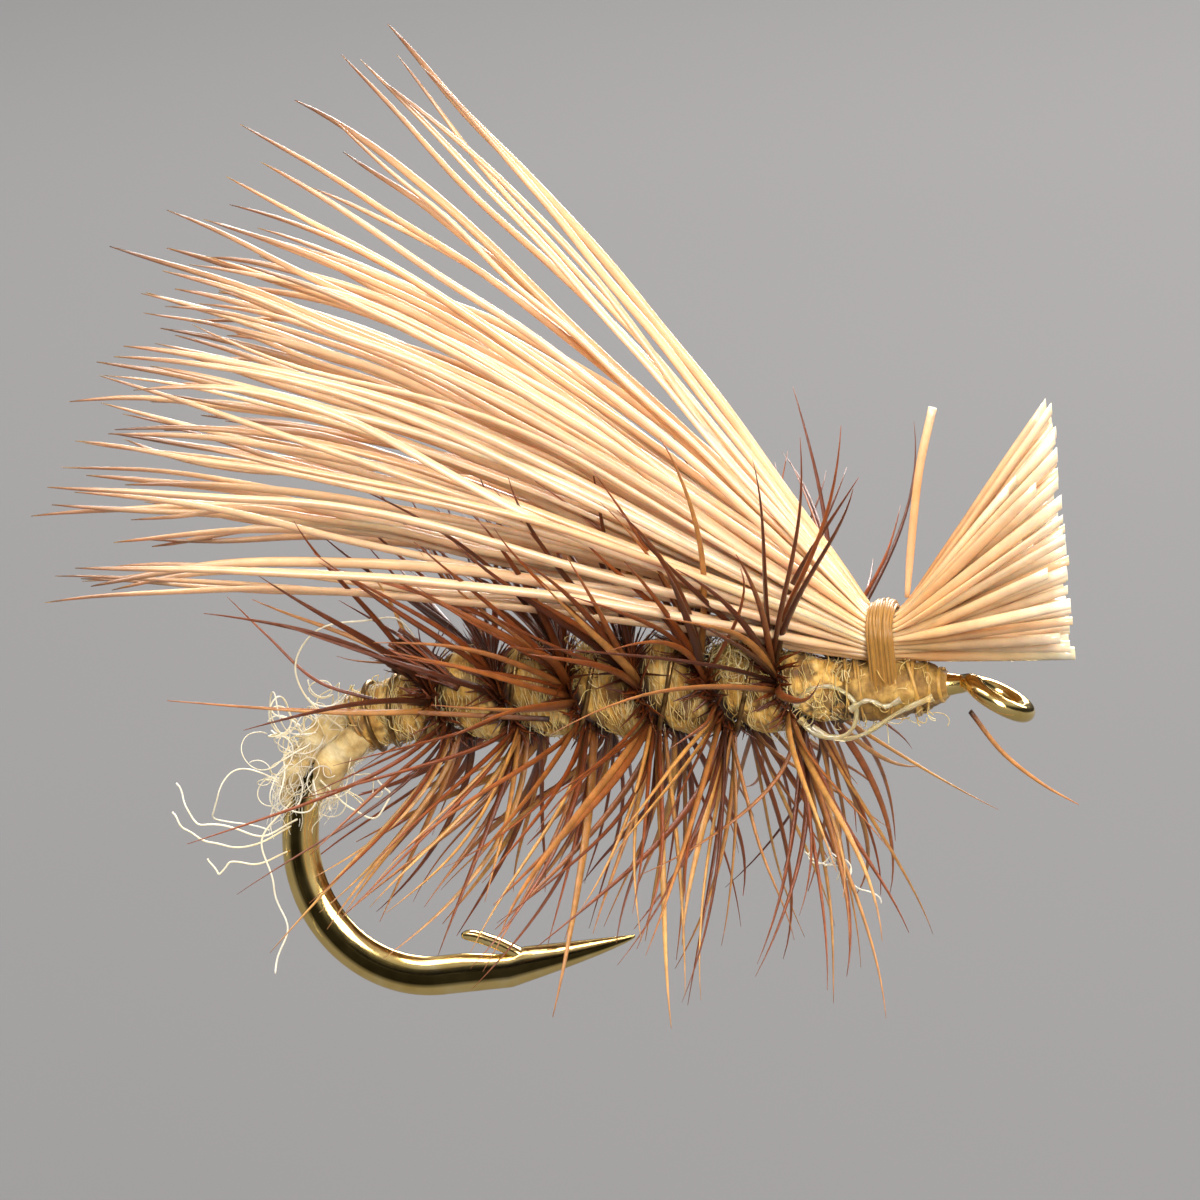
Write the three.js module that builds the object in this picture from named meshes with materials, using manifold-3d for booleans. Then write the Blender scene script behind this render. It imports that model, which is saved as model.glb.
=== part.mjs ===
// Dry fly: a down-eyed, barbed hook dressed with a dubbed body, a palmered hackle and a hair wing.
// Units are millimetres. +X runs along the shank from the bend to the eye and +Z is up.
// The origin is the centre of the hook's eye.

import * as THREE from 'three';
import { mergeVertices } from 'three/addons/utils/BufferGeometryUtils.js';
import Module from 'manifold-3d';

const wasm = await Module();
wasm.setup();

const DEG = Math.PI / 180;

// ---------------------------------------------------------------- driving sizes: the hook
const WIRE_D = 0.48;
const EYE_WIRE_D = 0.24;
const EYE_HOLE_D = 0.58;
const EYE_DROP_ANGLE = 32 * DEG;
const EYE_NECK_LENGTH = 0.8;
const SHANK_LENGTH = 7.55;
const BEND_RADIUS = 1.81;
const BEND_REACH = 1.66;
const SPEAR_RISE_ANGLE = 3.5 * DEG;
const SPEAR_LENGTH = 2.7;
const POINT_TAPER_LENGTH = 1.75;
const POINT_TIP_D = 0.05;
const FORGED_THICKNESS = 0.33;
const FORGED_DEPTH = 0.53;
const FORGING_START_ANGLE = 60 * DEG;
const BARB_TO_POINT = 1.65;
const BARB_LENGTH = 0.66;
const BARB_LIFT = 0.3;
const BARB_THICKNESS = 0.13;
const BARB_WIDTH = 0.2;
const NOTCH_DEPTH = 0.07;

// ---------------------------------------------------------------- driving sizes: the dressing
const SEAT_GAP = 0.015;
const THREAD_LAYER = 0.045;
const FOUNDATION_FRONT = 0.45;
const BODY_FRONT = 1.52;
const BODY_PAST_BEND = 0.78;
const BODY_FRONT_WALL = 0.175;
const BODY_REAR_WALL = 0.045;
const BODY_NECK_WALL = 0.045;
const FURROW_DEPTH = 0.12;
const FURROW_MIN_WALL = 0.035;
const TAIL_DUBBING_LENGTH = 1.55;
const TAIL_DUBBING_WALL = 0.12;
const TAIL_DUBBING_END_WALL = 0.06;
const RIB_WIRE_D = 0.06;
const RIB_TURNS = 5;
const LASHING_TURNS = 2;
const LASHING_WIDTH = 0.42;

const HACKLE_TURNS = 6;
const HACKLE_FRONT = 1.75;
const HACKLE_BEFORE_BEND = 0.22;
const HACKLE_STEM_D = 0.1;
const HACKLE_BARBS_PER_TURN = 19;
const HACKLE_BARB_D = 0.1;
const HACKLE_BARB_TIP_D = 0.024;
const HACKLE_FRONT_BARB_LENGTH = 4.75;
const HACKLE_REAR_BARB_LENGTH = 3.7;
const HACKLE_FRONT_LEAN = 6 * DEG;
const HACKLE_REAR_LEAN = 46 * DEG;
const HACKLE_LEAN_SPREAD = 13 * DEG;
const HOOK_CLEAR_ANGLE = 12 * DEG;
const STUB_LENGTH = 0.95;
const STUB_CUT_WIDTH = 0.42;
const STUB_THICKNESS = 0.12;

const BAND_SETBACK = 1.09;
const BAND_WIDTH = 0.38;
const BAND_THICKNESS = 0.11;
const HEAD_WRAP_LENGTH = 0.5;
const HEAD_WRAP_LAYER = 0.055;
const LOOP_THREAD_D = 0.09;
const LOOP_SAG = 0.32;

const HAIR_ROWS = 6;
const HAIR_ROW_PITCH = 0.118;
const HAIR_PITCH = 0.096;
const BUNDLE_HALF_WIDTH = 0.37;
const HAIR_WAIST_D = 0.084;
const HAIR_D = 0.13;
const HAIR_TIP_D = 0.03;
const HAIR_BUTT_D = 0.165;
const WING_LOW_LENGTH = 11.3;
const WING_HIGH_LENGTH = 10.2;
const WING_LENGTH_VARIATION = 0.35;
const WING_LOW_ANGLE = 5 * DEG;
const WING_HIGH_ANGLE = 50 * DEG;
const WING_SPREAD_ANGLE = 25 * DEG;
const HAIR_STRAY = 0.3;
const BUTT_REACH = 2.35;
const BUTT_LOW_ANGLE = 3 * DEG;
const BUTT_HIGH_ANGLE = 52 * DEG;
const BUTT_SIDE_DROP = 18 * DEG;
const BUTT_SPREAD_ANGLE = 30 * DEG;
const STRAY_BUTT_LENGTH = 2.55;
const STRAY_BUTT_ANGLE = 77 * DEG;

// ---------------------------------------------------------------- sizes worked out from them
const wireRadius = WIRE_D / 2;
const eyeRingRadius = (EYE_HOLE_D + EYE_WIRE_D) / 2;
const bendLength = (BEND_RADIUS + BEND_REACH) / 2 * (Math.PI + SPEAR_RISE_ANGLE);
const wireLength = SHANK_LENGTH + bendLength + SPEAR_LENGTH;
const foundationInner = wireRadius + SEAT_GAP;
const foundationRadius = foundationInner + THREAD_LAYER;
const sleeveInner = foundationRadius + SEAT_GAP;
const bodyRear = SHANK_LENGTH + BODY_PAST_BEND;
const hackleRear = SHANK_LENGTH - HACKLE_BEFORE_BEND;
const hacklePitch = (hackleRear - HACKLE_FRONT) / HACKLE_TURNS;
const headWrapRadius = sleeveInner + HEAD_WRAP_LAYER;
const bundleFloor = headWrapRadius + 2 * SEAT_GAP + HAIR_WAIST_D / 2;
const bundleHalfHeight = HAIR_ROW_PITCH * (HAIR_ROWS - 1) / 2;

const shankFront = new THREE.Vector3(
  -eyeRingRadius * Math.cos(EYE_DROP_ANGLE), 0, eyeRingRadius * Math.sin(EYE_DROP_ANGLE));
const bendCentre = new THREE.Vector3(shankFront.x - SHANK_LENGTH, 0, shankFront.z - BEND_RADIUS);
const sideways = new THREE.Vector3(0, 1, 0);
const lengthways = new THREE.Vector3(1, 0, 0);

// ---------------------------------------------------------------- small helpers
const mix = (a, b, t) => a + (b - a) * t;
const clamp01 = (t) => Math.min(1, Math.max(0, t));

function smooth(t) {
  const c = clamp01(t);
  return c * c * (3 - 2 * c);
}

// A repeatable number from -1 to 1 for each whole number n.
function scatter(n) {
  const s = Math.sin(n * 12.9898 + 4.1) * 43758.5453;
  return 2 * (s - Math.floor(s)) - 1;
}

// The hook wire's centre line, by length from the back of the eye: along the shank, round the
// slightly oval bend and up the spear. `outward` points away from the gape.
function wireAt(s) {
  const turned = clamp01((s - SHANK_LENGTH) / bendLength) * (Math.PI + SPEAR_RISE_ANGLE);
  const across = Math.sin(turned);
  const along = Math.cos(turned);
  const tangent = new THREE.Vector3(-BEND_REACH * along, 0, -BEND_RADIUS * across).normalize();
  const outward = new THREE.Vector3(tangent.z, 0, -tangent.x);
  if (s <= SHANK_LENGTH) {
    return { centre: shankFront.clone().addScaledVector(tangent, s), outward, tangent };
  }
  const centre = bendCentre.clone().add(
    new THREE.Vector3(-BEND_REACH * across, 0, BEND_RADIUS * along));
  centre.addScaledVector(tangent, Math.max(0, s - SHANK_LENGTH - bendLength));
  return { centre, outward, tangent };
}

// A point round the wire: angle 0 is on top of the shank, and it grows over the far side.
function aroundWire(s, radius, angle) {
  const { centre, outward } = wireAt(s);
  centre.addScaledVector(outward, radius * Math.cos(angle));
  return centre.addScaledVector(sideways, radius * Math.sin(angle));
}

function ringRoundWire(s, radiusAt, sides) {
  return Array.from({ length: sides }, (_, i) => {
    const angle = 2 * Math.PI * i / sides;
    return aroundWire(s, radiusAt(s, angle), angle);
  });
}

function spaced(from, to, steps) {
  return Array.from({ length: steps + 1 }, (_, i) => mix(from, to, i / steps));
}

function cubic(a, b, c, d, t) {
  const u = 1 - t;
  return a.clone().multiplyScalar(u * u * u)
    .addScaledVector(b, 3 * u * u * t)
    .addScaledVector(c, 3 * u * t * t)
    .addScaledVector(d, t * t * t);
}

// ---------------------------------------------------------------- meshes from rings of points
// Turns the faces so that the enclosed volume is positive.
function facingOut(rings, index) {
  const p = rings.flat();
  let volume = 0;
  for (let i = 0; i < index.length; i += 3) {
    volume += p[index[i]].dot(new THREE.Vector3().crossVectors(p[index[i + 1]], p[index[i + 2]]));
  }
  if (volume < 0) index.reverse();
  const geometry = new THREE.BufferGeometry().setFromPoints(p);
  geometry.setIndex(index);
  return geometry;
}

function joinRings(index, from, to, sides) {
  for (let i = 0; i < sides; i++) {
    const next = (i + 1) % sides;
    index.push(from + i, to + i, from + next);
    index.push(from + next, to + i, to + next);
  }
}

// A solid whose skin runs over the rings in turn, with a flat cap on each end.
function capped(rings) {
  const sides = rings[0].length;
  const last = (rings.length - 1) * sides;
  const index = [];
  for (let r = 0; r < rings.length - 1; r++) joinRings(index, r * sides, (r + 1) * sides, sides);
  for (let i = 1; i < sides - 1; i++) {
    index.push(0, i, i + 1);
    index.push(last, last + i + 1, last + i);
  }
  return facingOut(rings, index);
}

// A sleeve: the skin runs over the outer rings, back through the inner ones and closes on itself.
function sleeve(outerRings, innerRings) {
  const rings = [...outerRings, ...innerRings.slice().reverse()];
  const sides = rings[0].length;
  const index = [];
  rings.forEach((_, r) => joinRings(index, r * sides, ((r + 1) % rings.length) * sides, sides));
  return facingOut(rings, index);
}

// A round strand through the points. `reference` is never along the strand.
function strand(points, radii, sides, reference) {
  const rings = points.map((point, k) => {
    const before = points[Math.max(0, k - 1)];
    const after = points[Math.min(points.length - 1, k + 1)];
    const along = after.clone().sub(before).normalize();
    const across = reference.clone().addScaledVector(along, -reference.dot(along)).normalize();
    const third = new THREE.Vector3().crossVectors(along, across);
    return Array.from({ length: sides }, (_, i) => {
      const angle = 2 * Math.PI * i / sides;
      return point.clone()
        .addScaledVector(across, radii[k] * Math.cos(angle))
        .addScaledVector(third, radii[k] * Math.sin(angle));
    });
  });
  return capped(rings);
}

function toSolid(geometry) {
  const bare = geometry.clone();
  bare.deleteAttribute('normal');
  bare.deleteAttribute('uv');
  const merged = mergeVertices(bare, 1e-5);
  return new wasm.Manifold(new wasm.Mesh({
    numProp: 3,
    vertProperties: new Float32Array(merged.attributes.position.array),
    triVerts: new Uint32Array(merged.index.array),
  }));
}

function toGeometry(solid) {
  const mesh = solid.getMesh();
  const geometry = new THREE.BufferGeometry();
  geometry.setAttribute('position', new THREE.BufferAttribute(mesh.vertProperties, 3));
  geometry.setIndex(new THREE.BufferAttribute(mesh.triVerts, 1));
  return geometry;
}

// ---------------------------------------------------------------- materials
function finish(color, roughness, metalness = 0) {
  return () => new THREE.MeshStandardMaterial({ color, roughness, metalness });
}

const bronzedWire = finish(0x9a7a35, 0.22, 1);
const goldWire = finish(0x7c5a24, 0.35, 1);
const tyingThread = finish(0xc8a03c, 0.55);
const glossyThread = finish(0xd9cdb4, 0.2);
const dubbing = finish(0xb99a58, 0.95);
const paleDubbing = finish(0xd9c89a, 0.95);
const brownHackle = finish(0x7a3414, 0.4);
const elkHair = finish(0xe6bd87, 0.45);

const fly = new THREE.Group();

function add(name, geometry, material) {
  const mesh = new THREE.Mesh(geometry, material());
  mesh.name = name;
  fly.add(mesh);
}

// ---------------------------------------------------------------- hook
// Half depth (away from the gape) and half width (across) of the wire at s.
function wireSection(s) {
  const forged = smooth((s - SHANK_LENGTH - BEND_RADIUS * FORGING_START_ANGLE) / BEND_RADIUS);
  const neck = mix(EYE_WIRE_D / 2, wireRadius, smooth(s / EYE_NECK_LENGTH));
  const taper = clamp01((wireLength - s) / POINT_TAPER_LENGTH);
  const fullDepth = mix(neck, FORGED_DEPTH / 2, forged);
  const depth = mix(POINT_TIP_D / 2, fullDepth, Math.pow(taper, 0.8));
  const width = mix(POINT_TIP_D / 2, neck, Math.pow(taper, 0.8));
  const flat = Math.min(mix(width, FORGED_THICKNESS / 2, forged), width);
  return { depth, width, flat, lift: fullDepth - depth };
}

function hookRing(s) {
  const sides = 12;
  const { centre, outward } = wireAt(s);
  const { depth, width, flat, lift } = wireSection(s);
  centre.addScaledVector(outward, -lift);
  return Array.from({ length: sides }, (_, i) => {
    const angle = 2 * Math.PI * (i + 0.5) / sides;
    const across = Math.min(flat, Math.max(-flat, width * Math.sin(angle)));
    return centre.clone()
      .addScaledVector(outward, depth * Math.cos(angle))
      .addScaledVector(sideways, across);
  });
}

function makeHook() {
  const bendEnd = SHANK_LENGTH + bendLength;
  const taperStart = wireLength - POINT_TAPER_LENGTH;
  const stations = [
    ...spaced(0, EYE_NECK_LENGTH, 3),
    ...spaced(SHANK_LENGTH, bendEnd, 16),
    ...spaced(taperStart, wireLength, 6),
  ];
  const ring = new THREE.TorusGeometry(eyeRingRadius, EYE_WIRE_D / 2, 8, 20);
  ring.rotateY(EYE_DROP_ANGLE);
  return toSolid(capped(stations.map(hookRing)))
    .add(toSolid(ring))
    .subtract(toSolid(barbNotch()))
    .add(toSolid(barbSliver()));
}

// The spear's gape side at a length back from the point, and the directions there.
function spearTop(backFromPoint) {
  const { centre, outward, tangent } = wireAt(wireLength - backFromPoint);
  centre.addScaledVector(outward, -FORGED_DEPTH / 2);
  return { top: centre, up: outward.clone().negate(), back: tangent.clone().negate() };
}

function crosswiseBar(centre, up, halfHeight, halfWidth) {
  return [[1, 1], [1, -1], [-1, -1], [-1, 1]].map(([u, w]) => centre.clone()
    .addScaledVector(up, u * halfHeight)
    .addScaledVector(sideways, w * halfWidth));
}

// The barb is a sliver of the wire raised towards the bend, rooted inside the spear.
function barbSliver() {
  const { top, up, back } = spearTop(BARB_TO_POINT);
  const root = top.clone().addScaledVector(up, -BARB_THICKNESS).addScaledVector(back, -BARB_LENGTH / 2);
  const lip = top.clone().addScaledVector(up, BARB_THICKNESS / 4);
  const tip = top.clone().addScaledVector(up, BARB_LIFT).addScaledVector(back, BARB_LENGTH);
  return capped([
    crosswiseBar(root, up, BARB_THICKNESS / 2, BARB_WIDTH / 2),
    crosswiseBar(lip, up, BARB_THICKNESS / 2, BARB_WIDTH / 2),
    crosswiseBar(tip, up, BARB_THICKNESS / 5, BARB_WIDTH / 4),
  ]);
}

// The hollow that the raised sliver leaves in the spear behind its root.
function barbNotch() {
  const { top, up, back } = spearTop(BARB_TO_POINT);
  const deep = top.clone().addScaledVector(back, BARB_LENGTH * 0.3);
  const far = top.clone().addScaledVector(back, BARB_LENGTH);
  const notchHalf = 0.1;
  return capped([
    crosswiseBar(top.clone().addScaledVector(up, notchHalf), up, notchHalf, WIRE_D),
    crosswiseBar(deep.clone().addScaledVector(up, notchHalf - NOTCH_DEPTH), up, notchHalf, WIRE_D),
    crosswiseBar(far.clone().addScaledVector(up, notchHalf), up, notchHalf, WIRE_D),
  ]);
}

add('hook', toGeometry(makeHook()), bronzedWire);

// ---------------------------------------------------------------- thread foundation on the shank
function plainSleeve(from, to, steps, sides, outerAt, innerRadius) {
  const stations = spaced(from, to, steps);
  return sleeve(
    stations.map((s) => ringRoundWire(s, outerAt, sides)),
    stations.map((s) => ringRoundWire(s, () => innerRadius, sides)));
}

add('thread_foundation',
  plainSleeve(FOUNDATION_FRONT, bodyRear, 12, 12, () => foundationRadius, foundationInner),
  tyingThread);

// ---------------------------------------------------------------- dubbed body
// The dubbing's crest: thin at the neck behind the wing, full in front and slimmer at the rear.
function bodyCrest(s) {
  const along = clamp01((s - BODY_FRONT) / (bodyRear - BODY_FRONT));
  const full = mix(BODY_FRONT_WALL, BODY_REAR_WALL, Math.pow(along, 1.6));
  const neck = smooth((s - BODY_FRONT) / (HACKLE_FRONT + hacklePitch - BODY_FRONT));
  return sleeveInner + mix(BODY_NECK_WALL, full, neck);
}

// How deep the hackle stem's furrow is at this place, from 0 on the crest to 1 under the stem.
function furrowAt(s, angle) {
  const phase = (s - HACKLE_FRONT) / hacklePitch - angle / (2 * Math.PI);
  const turnsLeft = HACKLE_TURNS - angle / (2 * Math.PI) - phase;
  const covered = smooth((phase + 0.5) * 4) * smooth((turnsLeft + 0.3) * 4);
  return covered * Math.pow(0.5 + 0.5 * Math.cos(2 * Math.PI * phase), 2);
}

// The furrow's floor never cuts through to the foundation.
function furrowFloor(s) {
  return Math.max(bodyCrest(s) - FURROW_DEPTH, sleeveInner + FURROW_MIN_WALL);
}

function bodySurface(s, angle) {
  return mix(bodyCrest(s), furrowFloor(s), furrowAt(s, angle));
}

function makeBody() {
  const sides = 12;
  const outer = spaced(BODY_FRONT, bodyRear, 46);
  const inner = spaced(BODY_FRONT, bodyRear, 10);
  return sleeve(
    outer.map((s) => ringRoundWire(s, bodySurface, sides)),
    inner.map((s) => ringRoundWire(s, () => sleeveInner, sides)));
}

add('dubbed_body', makeBody(), dubbing);

// The loose end of the dubbing, carried down the bend behind the body.
const tailFront = bodyRear + SEAT_GAP;
const tailInner = Math.max(wireRadius, FORGED_DEPTH / 2) + SEAT_GAP;

function tailSurface(s) {
  const along = (s - tailFront) / TAIL_DUBBING_LENGTH;
  return tailInner + mix(TAIL_DUBBING_WALL, TAIL_DUBBING_END_WALL, along);
}

add('tail_dubbing',
  plainSleeve(tailFront, tailFront + TAIL_DUBBING_LENGTH, 8, 12, tailSurface, tailInner),
  paleDubbing);

// ---------------------------------------------------------------- rib wire
const stemRadius = HACKLE_STEM_D / 2;

// The radius at which the hackle's stem lies in its furrow.
function stemSeat(s) {
  return furrowFloor(s) + stemRadius + 3 * SEAT_GAP;
}

// Close turns lash the hackle's tip at the rear, then the wire spirals forward against the hackle.
function makeRibWire() {
  const stepsPerTurn = 14;
  const turns = LASHING_TURNS + RIB_TURNS;
  const ribFront = HACKLE_FRONT + hacklePitch / 2;
  const rear = bodyRear - RIB_WIRE_D;
  const points = spaced(0, turns, turns * stepsPerTurn).map((turn) => {
    const s = turn < LASHING_TURNS
      ? rear - LASHING_WIDTH * turn / LASHING_TURNS
      : mix(rear - LASHING_WIDTH, ribFront, (turn - LASHING_TURNS) / RIB_TURNS);
    const overStem = smooth(turn - LASHING_TURNS);
    const seat = Math.max(bodyCrest(s), mix(0, stemSeat(s) + stemRadius, overStem));
    return aroundWire(s, seat + RIB_WIRE_D / 2 + 2 * SEAT_GAP, 2 * Math.PI * turn);
  });
  return strand(points, points.map(() => RIB_WIRE_D / 2), 4, lengthways);
}

add('rib_wire', makeRibWire(), goldWire);

// ---------------------------------------------------------------- hackle
function stemPoint(turn, angle) {
  const s = HACKLE_FRONT + hacklePitch * (turn + angle / (2 * Math.PI));
  return aroundWire(s, stemSeat(s), angle);
}

function makeBarb(turn, angle, seed) {
  const back = turn / (HACKLE_TURNS - 1);
  const s = HACKLE_FRONT + hacklePitch * (turn + angle / (2 * Math.PI));
  const root = stemPoint(turn, angle);
  const { centre, tangent } = wireAt(s);
  const radial = root.clone().sub(centre).normalize();
  const lean = mix(HACKLE_FRONT_LEAN, HACKLE_REAR_LEAN, back) + HACKLE_LEAN_SPREAD * scatter(seed);
  const length = mix(HACKLE_FRONT_BARB_LENGTH, HACKLE_REAR_BARB_LENGTH, back)
    * (0.93 + 0.07 * scatter(seed + 0.5));
  const direction = radial.multiplyScalar(Math.cos(lean)).addScaledVector(tangent, Math.sin(lean));
  const bow = tangent.clone().multiplyScalar(length * 0.02);
  const middle = root.clone().addScaledVector(direction, length / 2).sub(bow);
  const end = root.clone().addScaledVector(direction, length).add(bow);
  return strand([root, middle, end],
    [HACKLE_BARB_D / 2 * 0.9, HACKLE_BARB_D / 2, HACKLE_BARB_TIP_D / 2], 3, lengthways);
}

// One turn of the feather: its stem, with barbs all round except straight below, where the bend is.
function makeHackleTurn(turn) {
  const arc = spaced(0, 1, 12).map((t) => mix(SEAT_GAP * 2, 2 * Math.PI - SEAT_GAP * 2, t));
  const stem = strand(arc.map((a) => stemPoint(turn, a)), arc.map(() => stemRadius), 5, lengthways);
  let solid = toSolid(stem);
  const swing = (2 * Math.PI - 2 * HOOK_CLEAR_ANGLE) / (HACKLE_BARBS_PER_TURN - 1);
  for (let i = 0; i < HACKLE_BARBS_PER_TURN; i++) {
    const fromBelow = Math.PI + HOOK_CLEAR_ANGLE + swing * i;
    const angle = fromBelow % (2 * Math.PI);
    solid = solid.add(toSolid(makeBarb(turn, angle, 31 * turn + i)));
  }
  return solid;
}

for (let turn = 0; turn < HACKLE_TURNS; turn++) {
  add(`hackle_turn_${turn + 1}`, toGeometry(makeHackleTurn(turn)), brownHackle);
}

// The feather's tip, trimmed to a blunt clump above the last turn.
function makeHackleStub() {
  const rootAngle = -50 * DEG;
  const s = hackleRear - hacklePitch * 0.6;
  const root = aroundWire(s, bodyCrest(s) + STUB_THICKNESS, rootAngle);
  const { tangent, outward } = wireAt(s);
  const direction = tangent.clone().multiplyScalar(0.77).addScaledVector(outward, 0.64).normalize();
  const up = new THREE.Vector3().crossVectors(direction, sideways).normalize();
  return capped(spaced(0, 1, 3).map((t) => crosswiseBar(
    root.clone().addScaledVector(direction, STUB_LENGTH * t), up,
    mix(STUB_THICKNESS, STUB_CUT_WIDTH, t) / 2, STUB_THICKNESS / 2)));
}

add('hackle_tip_stub', makeHackleStub(), brownHackle);

// ---------------------------------------------------------------- wing band and head wraps
const bundleCentre = new THREE.Vector3(
  shankFront.x - BAND_SETBACK, 0, shankFront.z + bundleFloor + bundleHalfHeight);

// The outline of thread pulled tight round the hair bundle above and the shank below.
function bandOutline(x, extra, sides) {
  const shankReach = sleeveInner + extra;
  const halfWidth = BUNDLE_HALF_WIDTH + HAIR_WAIST_D / 2 + SEAT_GAP + extra;
  const halfHeight = bundleHalfHeight + HAIR_WAIST_D / 2 + SEAT_GAP + extra;
  return Array.from({ length: sides }, (_, i) => {
    const angle = 2 * Math.PI * (i + 0.5) / sides;
    const y = Math.sin(angle);
    const z = Math.cos(angle);
    const reach = Math.hypot(halfWidth * y, halfHeight * z);
    const rise = bundleCentre.z - shankFront.z;
    if (reach + rise * z > shankReach) {
      const height = halfHeight ** 2 * z / reach;
      return new THREE.Vector3(x, halfWidth ** 2 * y / reach, bundleCentre.z + height);
    }
    return new THREE.Vector3(x, shankReach * y, shankFront.z + shankReach * z);
  });
}

function makeWingBand() {
  const sides = 24;
  const across = [-1, -0.75, 0, 0.75, 1];
  const rounding = [0.5, 0.85, 1, 0.85, 0.5];
  const place = (t) => bundleCentre.x + BAND_WIDTH / 2 * t;
  return sleeve(
    across.map((t, i) => bandOutline(place(t), BAND_THICKNESS * rounding[i], sides)),
    [-1, 1].map((t) => bandOutline(place(t), 0, sides)));
}

add('wing_band', makeWingBand(), tyingThread);

const headRear = BAND_SETBACK - BAND_WIDTH / 2 - SEAT_GAP;
const headFront = headRear - HEAD_WRAP_LENGTH;

function headSurface(s) {
  const build = smooth((s - headFront) / HEAD_WRAP_LENGTH);
  return mix(foundationRadius + HEAD_WRAP_LAYER / 2, headWrapRadius, build);
}

add('head_wraps',
  plainSleeve(headFront, headRear, 4, 12, headSurface, sleeveInner),
  tyingThread);

// Two slack loops of glossy thread that hang below the shank between the head and the hackle.
function makeLoop(sag, side) {
  const front = aroundWire(BAND_SETBACK - BAND_WIDTH, headWrapRadius + LOOP_THREAD_D, Math.PI - side);
  const rearRadius = bodyCrest(HACKLE_FRONT) + LOOP_THREAD_D;
  const rear = aroundWire(HACKLE_FRONT + hacklePitch / 4, rearRadius, Math.PI - side);
  const hang = new THREE.Vector3(0, 0, -sag);
  const points = spaced(0, 1, 8).map((t) => cubic(
    front, front.clone().lerp(rear, 0.3).add(hang), front.clone().lerp(rear, 0.75).add(hang), rear, t));
  return strand(points, points.map(() => LOOP_THREAD_D / 2), 5, sideways);
}

add('thread_loop_1', makeLoop(LOOP_SAG, -35 * DEG), glossyThread);
add('thread_loop_2', makeLoop(LOOP_SAG * 1.3, 5 * DEG), glossyThread);

// ---------------------------------------------------------------- hair wing
// Each hair runs from its fine tip behind the fly, through the band, to its cut butt over the eye.
// `high` is its place in the bundle from the bottom row (0) to the top (1), `side` from -1 to 1.
function makeHair(high, side, seed) {
  const y = side * BUNDLE_HALF_WIDTH * rowWidth(high);
  const z = shankFront.z + bundleFloor + 2 * bundleHalfHeight * high;
  const rear = new THREE.Vector3(bundleCentre.x - BAND_WIDTH / 2 - SEAT_GAP, y, z);
  const front = new THREE.Vector3(bundleCentre.x + BAND_WIDTH / 2 + SEAT_GAP, y, z);

  const stray = HAIR_STRAY * scatter(seed) / (HAIR_ROWS - 1);
  const climb = mix(WING_LOW_ANGLE, WING_HIGH_ANGLE, high + stray);
  const yaw = WING_SPREAD_ANGLE * side * mix(1, 0.7, high);
  const length = mix(WING_LOW_LENGTH, WING_HIGH_LENGTH, high)
    + WING_LENGTH_VARIATION * scatter(seed + 0.3);
  const aim = new THREE.Vector3(
    -Math.cos(climb) * Math.cos(yaw), Math.cos(climb) * Math.sin(yaw), Math.sin(climb));
  const tip = rear.clone().addScaledVector(aim, length);
  const leave = rear.clone().addScaledVector(lengthways, -length * 0.08);
  const belly = rear.clone().addScaledVector(aim, length * 0.6);
  belly.z -= length * 0.02;

  const sideDrop = BUTT_SIDE_DROP * side * side * (1 - high);
  const rise = mix(BUTT_LOW_ANGLE, BUTT_HIGH_ANGLE, high + stray) - sideDrop;
  const splay = BUTT_SPREAD_ANGLE * side;
  const ahead = new THREE.Vector3(1, Math.tan(splay), Math.tan(rise));
  const reach = BUTT_REACH + 0.1 * scatter(seed + 0.7);
  const cut = front.clone().addScaledVector(ahead, reach);
  const enter = front.clone().addScaledVector(lengthways, reach * 0.2);

  const wing = spaced(1, 0, 6).map((t) => cubic(rear, leave, belly, tip, t));
  const butt = spaced(0, 1, 3).map((t) => cubic(front, enter, cut.clone().lerp(front, 0.4), cut, t));
  const wingRadii = spaced(1, 0, 6).map((t) => (t === 0
    ? HAIR_WAIST_D
    : mix(HAIR_D, HAIR_TIP_D, Math.pow(t, 1.5))) / 2);
  const buttRadii = [HAIR_WAIST_D, HAIR_BUTT_D * 0.85, HAIR_BUTT_D, HAIR_BUTT_D].map((d) => d / 2);
  return strand([...wing, ...butt], [...wingRadii, ...buttRadii], 5, sideways);
}

// The bundle is round, so its top and bottom rows are narrower than the middle ones.
function rowWidth(high) {
  return Math.sqrt(1 - 0.55 * (2 * high - 1) ** 2);
}

let hairNumber = 0;
for (let row = 0; row < HAIR_ROWS; row++) {
  const high = row / (HAIR_ROWS - 1);
  const hairs = Math.round(2 * BUNDLE_HALF_WIDTH * rowWidth(high) / HAIR_PITCH);
  for (let i = 0; i < hairs; i++) {
    hairNumber += 1;
    const side = 2 * i / (hairs - 1) - 1;
    add(`elk_hair_${String(hairNumber).padStart(2, '0')}`, makeHair(high, side, hairNumber), elkHair);
  }
}

// One short hair stands up alone in front of the band.
function makeStrayHair() {
  const base = bundleCentre.clone();
  base.x += BAND_WIDTH / 2 + BAND_THICKNESS;
  base.z += bundleHalfHeight + HAIR_BUTT_D;
  const aim = new THREE.Vector3(Math.cos(STRAY_BUTT_ANGLE), 0.1, Math.sin(STRAY_BUTT_ANGLE)).normalize();
  const points = spaced(0, STRAY_BUTT_LENGTH, 3).map((d) => base.clone().addScaledVector(aim, d));
  return strand(points, [HAIR_WAIST_D, HAIR_D, HAIR_D, HAIR_D * 0.9].map((d) => d / 2), 5, lengthways);
}

add('stray_butt_hair', makeStrayHair(), elkHair);

export default fly;
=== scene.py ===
"""The dry fly's looks: hair, feather, fur, thread and wire made strand by strand round the CAD frame.

Lengths are in millimetres, and meshes are written in metres. The studio's own lengths are in metres.
"""

import math

import bpy
import numpy as np
from mathutils import Matrix, Vector, noise


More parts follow.
